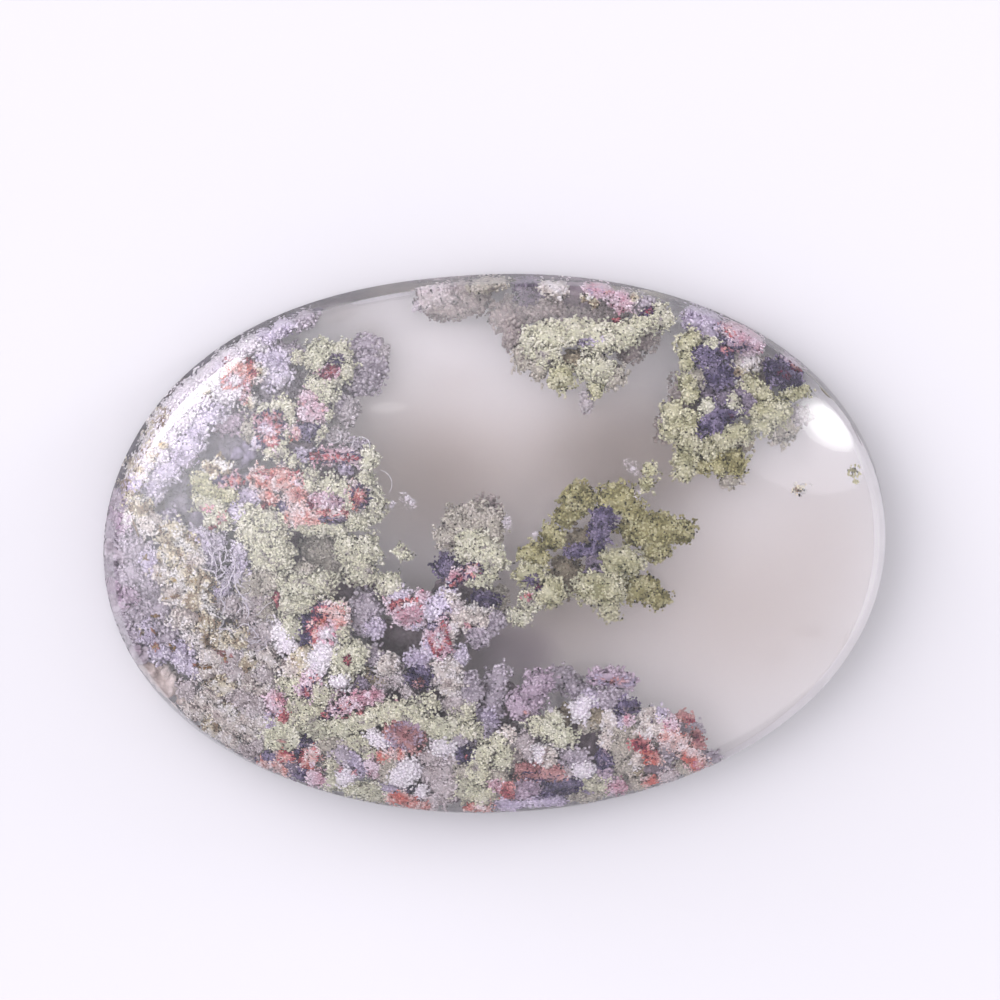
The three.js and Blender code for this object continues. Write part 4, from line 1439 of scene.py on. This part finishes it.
LOWER_LEFT_HEARTS = (
    (323, 611, 15, 7, 0, "salmon", "violet"), (312, 624, 8, 12, -25, "salmon", "violet"),
    (316, 618, 4, 5, 0, "blood", "violet"), (336, 616, 9, 10, 0, "salmon", "salmon"),
    (329, 624, 9, 8, 0, "rose", "salmon"), (326, 634, 10, 10, 0, "cloud", "rose"),
    (314, 634, 4, 8, 0, "salmon", "blood"), (348, 660, 5, 5, 0, "blood", "maroon"),
    (306, 692, 5, 7, 0, "blood", "violet"), (314, 678, 6, 5, 0, "rose", "violet"),
    (325, 715, 6, 5, 0, "blood", "violet"), (345, 706, 10, 4, 20, "rose", "violet"),
    (360, 713, 4, 3, 0, "blood", "brick"), (345, 717, 3, 2, 0, "blood", "brick"),
    (352, 698, 10, 2, 20, "salmon", "rose"), (395, 700, 2, 2, 0, "blood", "rose"),
    (277, 702, 6, 5, 0, "salmon", "rose"), (284, 719, 5, 5, 0, "blood", "brick"),
    (271, 715, 4, 3, 0, "slate", "lavender"), (271, 724, 4, 3, 0, "slate", "lavender"),
    (282, 741, 6, 2, 0, "brick", "sage"), (309, 757, 9, 11, -20, "salmon", "blood"),
    (312, 764, 6, 5, 0, "rose", "salmon"), (285, 757, 9, 5, 0, "salmon", "blood"),
    (404, 731, 6, 5, 0, "rose", "salmon"), (405, 735, 17, 14, 0, "brick", "mauve"),
    (340, 769, 3, 3, 0, "salmon", "rose"), (354, 772, 4, 3, 0, "salmon", "rose"),
    (466, 757, 3, 3, 0, "blood", "violet"), (306, 743, 6, 4, 0, "dusk", "violet"),
)

LOWER_RIGHT = (
    (497, 683, 9, 16, -15, 1.4, "ash"), (493, 705, 10, 16, -15, 1.2, "ash"),
    (488, 722, 10, 14, 0, 1.0, "lavender"), (483, 739, 9, 10, 0, 0.8, "lavender"),
    (540, 682, 12, 11, 35, 1.0, "mauve"), (530, 698, 15, 13, 35, 0.8, "mauve"),
    (519, 708, 11, 10, 0, 0.8, "mauve"), (528, 714, 10, 8, 0, 0.9, "mauve"),
    (562, 678, 13, 10, 0, 1.7, "ash"), (612, 679, 24, 8, -5, 0.5, "mauve"),
    (580, 690, 14, 9, 0, 1.0, "ash"), (610, 699, 18, 10, 0, 0.5, "ash"),
    (594, 700, 11, 9, 0, 0.6, "lavender"), (628, 708, 12, 7, 0, 0.3, "violet"),
    (582, 708, 8, 12, -5, 0.2, "cloud"), (600, 716, 15, 7, 0, 0.6, "umber"),
    (591, 724, 9, 8, 0, 0.8, "grey sage"), (609, 722, 7, 10, 0, 0.4, "cream"),
    (606, 738, 5, 14, 0, 0.4, "cream"), (619, 722, 10, 9, 0, 0.6, "lavender"),
    (628, 720, 4, 4, 0, 0.1, "rose"), (537, 724, 9, 7, 0, 0.3, "sage"),
    (549, 728, 12, 8, -20, 0.2, "pale sage"), (563, 736, 15, 8, -10, 0.2, "pale sage"),
    (554, 720, 8, 7, 0, 0.2, "pale sage"), (509, 733, 6, 5, 0, 0.2, "cream"),
    (500, 744, 9, 8, 0, 0.2, "sage"), (503, 757, 8, 8, 0, 0.2, "pale sage"),
    (522, 744, 15, 10, 0, 0.8, "bone"), (530, 757, 12, 8, 0, 0.8, "bone"),
    (516, 762, 10, 8, 0, 0.7, "taupe"), (549, 757, 8, 11, 0, 0.2, "cream"),
    (541, 754, 7, 9, 0, 0.3, "cloud"), (574, 759, 14, 9, 10, 0.4, "ash"),
    (582, 770, 12, 7, 10, 0.3, "cloud"), (570, 772, 10, 6, 0, 0.4, "bone"),
    (530, 772, 15, 9, -5, 0.3, "brick"), (550, 776, 16, 8, -8, 0.3, "brick"),
    (535, 786, 18, 7, -5, 0.3, "mauve"), (556, 788, 22, 8, -5, 0.2, "violet"),
    (572, 784, 14, 7, 0, 0.4, "violet"), (508, 792, 6, 9, 25, 0.15, "blood"),
    (520, 795, 14, 6, 0, 0.3, "mauve"), (496, 786, 8, 8, 0, 0.3, "rose"),
    (500, 776, 8, 8, 0, 0.4, "grey sage"), (545, 801, 24, 5, 3, 0.2, "lavender"),
    (510, 804, 18, 5, 0, 0.2, "lavender"), (477, 809, 15, 4, -3, 0.1, "salmon"),
    (478, 772, 11, 16, 0, 0.2, "sage"), (468, 788, 11, 14, 0, 0.2, "pale sage"),
    (484, 752, 8, 12, 0, 0.3, "sage"), (484, 795, 12, 9, 0, 0.2, "sage"), (596, 786, 14, 8, 8, 0.3, "sage"),
    (585, 796, 18, 5, 6, 0.2, "grey sage"), (604, 758, 7, 11, 0, 0.4, "violet"),
    (606, 776, 7, 9, 0, 0.5, "mauve"), (622, 735, 13, 11, 0, 0.5, "grey sage"),
    (618, 753, 11, 13, 0, 0.5, "grey sage"), (630, 748, 10, 16, 0, 0.5, "grey sage"),
    (628, 768, 13, 11, 0, 0.5, "grey sage"), (648, 717, 9, 8, 0, 0.2, "cream"),
    (657, 727, 9, 9, 0, 0.2, "cream"), (645, 730, 8, 8, 0, 0.2, "cream"), (660, 716, 8, 6, 0, 0.3, "lilac"),
    (670, 724, 10, 8, 0, 0.2, "rose"), (667, 737, 9, 9, 0, 0.2, "salmon"),
    (641, 745, 8, 7, 0, 0.15, "blood"), (650, 756, 10, 7, -20, 0.15, "salmon"),
    (638, 760, 7, 8, 0, 0.2, "cream"), (668, 752, 11, 12, 0, 0.6, "ash"), (662, 767, 12, 10, 0, 0.6, "ash"),
    (651, 768, 7, 6, 0, 0.3, "dusk"), (677, 743, 11, 9, -45, 0.1, "salmon"),
    (689, 755, 10, 9, -45, 0.1, "salmon"), (699, 763, 12, 7, -20, 0.1, "salmon"),
    (684, 718, 9, 4, -10, 0.15, "brick"), (690, 735, 10, 12, -20, 0.7, "ash"),
    (698, 740, 5, 10, 25, 0.15, "brick"), (711, 757, 9, 6, 10, 0.4, "ash"),
    (684, 768, 11, 6, 15, 0.4, "grey sage"), (650, 780, 10, 5, 12, 0.15, "salmon"),
    (636, 784, 12, 6, 12, 0.3, "grey sage"), (618, 787, 10, 7, 10, 0.15, "rose"),
    (668, 776, 11, 5, 15, 0.3, "bone"), (640, 772, 8, 6, 0, 0.4, "umber"),
    (564, 716, 7, 9, 0, 1.2, "umber"),
)
LOWER_RIGHT_HEARTS = (
    (612, 680, 22, 6, -5, "brick", "lavender"), (626, 709, 5, 4, 0, "dusk", "violet"),
    (636, 708, 4, 3, 0, "dusk", "violet"), (540, 776, 18, 5, -5, "brick", "violet"),
    (560, 790, 14, 4, 0, "violet", "slate"), (508, 792, 5, 8, 25, "blood", "brick"),
    (641, 743, 6, 5, 0, "blood", "maroon"), (652, 755, 8, 5, -20, "salmon", "blood"),
    (651, 721, 2, 3, 0, "slate", "cream"), (690, 720, 5, 3, 0, "maroon", "blood"),
    (681, 719, 4, 2, 0, "salmon", "salmon"), (698, 740, 3, 8, 25, "maroon", "brick"),
    (651, 768, 5, 4, 0, "dusk", "slate"), (604, 758, 5, 8, 0, "violet", "mauve"),
    (588, 792, 6, 3, 0, "violet", "lavender"), (700, 766, 8, 4, -20, "salmon", "rose"),
    (526, 712, 4, 3, 0, "brick", "mauve"),
)

# The frosty white veil along the upper-left edge: partly the moss's own white and partly a painted glare,
# where the dome mirrors the light along its rim.
WHITE_VEIL_AND_GLARE = (
    (139, 474, 8, 10, -15, 0.12, "cloud"), (144, 461, 8, 10, -20, 0.12, "cloud"),
    (150, 447, 9, 11, -25, 0.12, "cloud"), (157, 434, 9, 11, -30, 0.12, "cloud"),
    (165, 421, 10, 11, -35, 0.12, "cloud"), (174, 409, 11, 11, 0, 0.12, "cloud"),
    (184, 398, 12, 11, 0, 0.12, "cloud"), (195, 387, 12, 10, 0, 0.12, "cloud"),
    (207, 376, 12, 9, 35, 0.14, "cloud"), (219, 366, 11, 9, 30, 0.16, "cloud"),
    (233, 356, 13, 8, 30, 0.20, "cloud"), (249, 346, 13, 7, 28, 0.25, "cloud"),
    (266, 337, 13, 6, 25, 0.35, "lilac"), (284, 329, 13, 6, 22, 0.50, "lilac"),
    (303, 321, 13, 6, 20, 0.70, "ash"), (132, 486, 8, 10, -10, 0.15, "lilac"),
    (125, 503, 8, 9, -5, 0.3, "ash"), (122, 521, 8, 9, 0, 0.3, "mauve"),
    (181, 420, 12, 10, 35, 0.30, "cloud"), (193, 407, 12, 10, 35, 0.30, "cloud"),
    (206, 396, 12, 9, 35, 0.30, "cloud"), (168, 437, 11, 11, 0, 0.30, "cloud"),
    (160, 452, 10, 12, 0, 0.30, "cloud"),
)
VEIL_HEARTS = (
    (165, 416, 4, 4, 0, "straw", "cloud"), (163, 424, 5, 3, 0, "umber", "cloud"),
    (148, 442, 5, 4, 0, "straw", "cloud"), (163, 445, 5, 3, 0, "ochre", "straw"),
    (150, 457, 5, 5, 0, "straw", "cream"), (140, 470, 6, 4, 0, "straw", "cream"),
    (205, 392, 5, 4, 0, "straw", "cloud"), (132, 496, 4, 6, 0, "straw", "cream"),
    (121, 490, 3, 3, 0, "slate", "lilac"), (123, 497, 2, 2, 0, "slate", "lilac"),
)

# The moss that lies deep, seen through the gaps between the plumes, coarse and dim. Its dark dusk and haze
# tones are partly the moss's own and partly painted shade in the gaps.
DEEP_MOSS = (
    (232, 452, 32, 20, 0, 2.6, "haze"), (243, 452, 13, 13, 0, 1.8, "haze"),
    (173, 492, 20, 26, 0, 2.4, "dusk"), (205, 520, 24, 20, 0, 2.2, "haze"),
    (298, 552, 16, 22, 0, 2.2, "dusk"), (240, 600, 30, 34, 0, 2.0, "dusk"),
    (300, 450, 30, 16, 0, 2.4, "haze"), (342, 470, 26, 10, 0, 2.0, "dusk"),
    (350, 590, 30, 16, 0, 2.2, "dusk"), (400, 640, 34, 18, 0, 2.6, "dusk"),
    (440, 620, 24, 22, 0, 2.8, "dusk"), (460, 590, 24, 14, 0, 2.6, "dusk"),
    (380, 700, 34, 22, 0, 2.0, "dusk"), (430, 705, 26, 18, 0, 1.8, "dusk"),
    (470, 730, 24, 22, 0, 1.8, "dusk"), (345, 735, 34, 18, 0, 1.6, "dusk"),
    (320, 700, 26, 18, 0, 1.8, "dusk"), (395, 760, 34, 18, 0, 1.5, "dusk"),
    (300, 660, 26, 24, 0, 2.0, "dusk"), (270, 560, 26, 26, 0, 2.0, "dusk"),
    (310, 500, 36, 18, 0, 2.2, "dusk"), (250, 490, 30, 16, 0, 2.0, "haze"),
    (500, 745, 24, 24, 0, 1.8, "dusk"), (545, 745, 28, 22, 0, 1.8, "dusk"),
    (590, 745, 24, 24, 0, 1.6, "dusk"), (500, 700, 18, 22, 0, 2.4, "dusk"),
    (520, 785, 34, 12, 0, 1.2, "dusk"), (630, 755, 24, 18, 0, 1.3, "dusk"),
    (450, 785, 30, 16, 0, 1.2, "dusk"), (285, 740, 24, 16, 0, 1.3, "dusk"),
    (150, 560, 22, 30, 0, 2.0, "haze"), (150, 610, 22, 22, 0, 1.8, "haze"),
    (154, 667, 15, 11, -40, 1.2, "tan"), (171, 683, 17, 10, -40, 1.3, "tan"),
    (190, 698, 14, 8, -38, 1.2, "tan"), (190, 640, 24, 20, 0, 1.6, "ash"),
    (235, 670, 26, 22, 0, 1.5, "ash"), (190, 560, 24, 26, 0, 2.0, "haze"),
    (280, 400, 30, 20, 0, 2.2, "haze"), (240, 405, 24, 16, 0, 1.8, "haze"),
    (330, 390, 24, 20, 0, 2.2, "haze"), (560, 310, 40, 12, 0, 2.0, "dusk"),
    (600, 320, 26, 14, 0, 1.8, "taupe"),
)

# Single crumbs of moss that float on their own in the clear stone.
LOOSE_MOSS = (
    (649, 470, 6, 6, 0, 0.1, "leaf"), (646, 484, 6, 5, 0, 0.1, "leaf"), (799, 489, 6, 3, 0, 0.6, "straw"),
    (633, 469, 2, 2, 0, 0.1, "speck"), (535, 534, 2, 2, 0, 0.3, "speck"), (407, 498, 3, 2, 0, 0.2, "speck"),
    (412, 503, 2, 2, 0, 0.2, "speck"), (392, 503, 2, 1, 0, 0.2, "speck"), (551, 710, 2, 2, 0, 0.2, "speck"),
    (507, 522, 3, 3, 0, 0.6, "speck"), (640, 493, 2, 1, 0, 0.2, "speck"), (627, 462, 1, 1, 0, 0.2, "speck"),
    (853, 470, 3, 2, 0, 0.2, "olive"), (856, 481, 2, 1, 0, 0.2, "olive"),
)

# The pieces of moss: name, lobes, hearts, and a shade for its tones, since the sky's glow lights the left of
# the stone more than the photograph's light does.
PLUMES = (
    ("moss_centre_plume", CENTRE_PLUME, CENTRE_HEARTS, 0.93),
    ("moss_upper_plume", UPPER_PLUME, UPPER_HEARTS, 0.96),
    ("moss_upper_right_plume", UPPER_RIGHT_PLUME, UPPER_RIGHT_HEARTS, 0.96),
    ("moss_middle_plume", MIDDLE_PLUME, MIDDLE_HEARTS, 0.92),
    ("moss_upper_left_plume", UPPER_LEFT_PLUME, UPPER_LEFT_HEARTS, 0.82),
    ("moss_salmon_band", SALMON_BAND, SALMON_HEARTS, 0.83),
    ("moss_left_rim", LEFT_RIM, LEFT_HEARTS, 0.80),
    ("moss_lower_left", LOWER_LEFT, LOWER_LEFT_HEARTS, 0.96),
    ("moss_lower_right", LOWER_RIGHT, LOWER_RIGHT_HEARTS, 1.05),
    ("moss_white_veil_and_glare", WHITE_VEIL_AND_GLARE, VEIL_HEARTS, 0.88),
    ("moss_deep", DEEP_MOSS, (), 0.90),
    ("moss_loose", LOOSE_MOSS, (), 1.00),
)
FIRST_SEED = 11


def make_stone():
    """The clear stone, which stands for the CAD solid."""
    material = clear_stone("clear_agate", AGATE_COLOUR, AGATE_DENSITY, POLISH_ROUGHNESS, AGATE_IOR)
    stone = mesh_piece("polished_stone", *stone_surface(), material)
    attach(stone, "root")
    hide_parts("cabochon")


def make_moss():
    """Every plume, and the fine strands, in one shared material."""
    material = moss_material()
    pieces = [
        build_moss(name, rows, hearts, shade, material, seed)
        for seed, (name, rows, hearts, shade) in enumerate(PLUMES, FIRST_SEED)
    ]
    net = sum((wandering_strands(*row) for row in FIBRE_NETS), FIBRES)
    pieces += [
        build_strands(name, rows, material)
        for name, rows in (("pale_fibres", net), ("pale_rings", RINGS), ("stray_and_rim_shade_lines", STRAY_AND_RIM_SHADE_LINES))
    ]
    for piece in pieces:
        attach(piece, "root")


def make_smoke_and_shade():
    """The brownish smoke in the clear stone, partly its own cloud and partly painted shade, and a violet
    sheet of painted shade near its back, each one closed sheet that swells where the stone is darker. The
    brown one is a little milky."""
    for name, rows, level_share, most_share, colour, density, milk in SMOKE_AND_SHADE_SHEETS:
        material = clear_stone(name, colour, density, SHEET_ROUGHNESS, SHEET_IOR, milk)
        sheet = mesh_piece(name, *sheet_surface(rows, level_share, most_share), material)
        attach(sheet, "root")


# The studio

SKY_COLOUR = (0.965, 0.945, 1.0)
SKY_LEAST = 1.27
SKY_GLOW = 5.4
GLOW_WIDTH = 5.0
GLOW_AZIMUTH, GLOW_HEIGHT = math.radians(158), math.radians(33)
FLOOR_SHADE = 0.455
CARD_SHADE = 1.02
# Half the floor's side, how far the floor and the card lie under the stone, and how far the card's edge
# stays in from the edge of the stone's flat back.
FLOOR_HALF = 2000.0
FLOOR_DROP, CARD_DROP = 0.02, 0.01
CARD_INSET = 0.05
CARD_STEPS = 180
# The lamps that the dome mirrors. Each row has a name, the azimuth and the height over the floor in degrees,
# the half widths as seen from the stone in degrees, the radiance in watts per square metre and steradian,
# and a colour.
LAMP_DISTANCE = 1000.0
LAMPS = (
    ("small_box", 22.5, 14, 6, 11, 9, (1.0, 1.0, 1.0)),
    ("soft_box", 22.5, 14, 8, 14, 4, (1.0, 1.0, 1.0)),
    ("halo_box", 18, 24, 13, 22, 1.6, (0.93, 0.92, 1.0)),
    ("faint_box", 101, 55, 2.6, 1.8, 2.2, (1.0, 0.98, 1.0)),
    ("glare_strip", 138, 11, 17, 10, 8.5, (1.0, 0.98, 1.0)),
)


def heading_of(azimuth, height):
    """The direction with this azimuth and this height over the floor, in radians."""
    flat = math.cos(height)
    return np.array([flat * math.cos(azimuth), flat * math.sin(azimuth), math.sin(height)])


def far_lamp(name, azimuth, height, half_across, half_up, radiance, colour):
    """An oval lamp far off in a direction, which faces the stone. An oval of even radiance sends out its
    radiance times its area times pi."""
    around = math.radians(azimuth)
    back = heading_of(around, math.radians(height))
    right = np.array([-math.sin(around), math.cos(around), 0.0])
    halves = np.tan(np.radians([half_across, half_up])) * LAMP_DISTANCE
    data = bpy.data.lights.new(name, "AREA")
    data.shape = "ELLIPSE"
    data.size, data.size_y = 2 * halves * MM
    data.energy = radiance * math.pi * halves[0] * halves[1] * MM**2 * math.pi
    data.color = colour
    lamp = bpy.data.objects.new(name, data)
    bpy.context.collection.objects.link(lamp)
    lamp.matrix_world = placed(right, np.cross(back, right), back, back * LAMP_DISTANCE)


def make_sky():
    """A sky with a broad glow from the upper left: least + glow * cos(angle to its middle) ^ width."""
    world = bpy.data.worlds.new("sky")
    world.use_nodes = True
    tree = world.node_tree
    towards = tree.nodes.new("ShaderNodeTexCoord")
    angle = tree.nodes.new("ShaderNodeVectorMath")
    angle.operation = "DOT_PRODUCT"
    angle.inputs[1].default_value = heading_of(GLOW_AZIMUTH, GLOW_HEIGHT)
    tree.links.new(towards.outputs["Generated"], angle.inputs[0])
    value = angle.outputs["Value"]
    steps = (("MAXIMUM", 0.0), ("POWER", GLOW_WIDTH), ("MULTIPLY", SKY_GLOW), ("ADD", SKY_LEAST))
    for operation, number in steps:
        step = tree.nodes.new("ShaderNodeMath")
        step.operation = operation
        step.inputs[1].default_value = number
        tree.links.new(value, step.inputs[0])
        value = step.outputs["Value"]
    background = tree.nodes["Background"]
    background.inputs["Color"].default_value = (*SKY_COLOUR, 1)
    tree.links.new(value, background.inputs["Strength"])
    bpy.context.scene.world = world


def make_ground():
    """A pale floor, a square, and a white card under the stone in the shape of its flat back."""
    corners = np.array([[-1, -1], [1, -1], [1, 1], [-1, 1]]) * FLOOR_HALF
    corners = np.column_stack([corners, np.full(4, -FLOOR_DROP)])
    floor = mesh_piece("floor", corners, np.array([[0, 1, 2, 3]]), paper("floor", FLOOR_SHADE), smooth=False)
    turn = np.linspace(0, 2 * math.pi, CARD_STEPS, endpoint=False)
    x, y = plan_ring(RADIUS - BEVEL_WIDTH - CARD_INSET, turn)
    edge = np.stack([x, y, np.full(CARD_STEPS, -CARD_DROP)], -1)
    faces = fan_faces(CARD_STEPS, np.arange(CARD_STEPS), outward=True)
    points = np.vstack([edge, [0, 0, -CARD_DROP]])
    card = mesh_piece("card", points, faces, paper("card", CARD_SHADE), smooth=False)


def make_studio():
    """The ground, a bright soft sky, and the lamps that the dome mirrors: a hot one at the right with a
    softer one round it and a dim halo above, a faint one near the middle, and a glare along the upper left
    edge."""
    make_ground()
    make_sky()
    for row in LAMPS:
        far_lamp(*row)
    bpy.context.scene.view_settings.view_transform = "Standard"


make_camera()
make_stone()
make_moss()
make_smoke_and_shade()
make_studio()
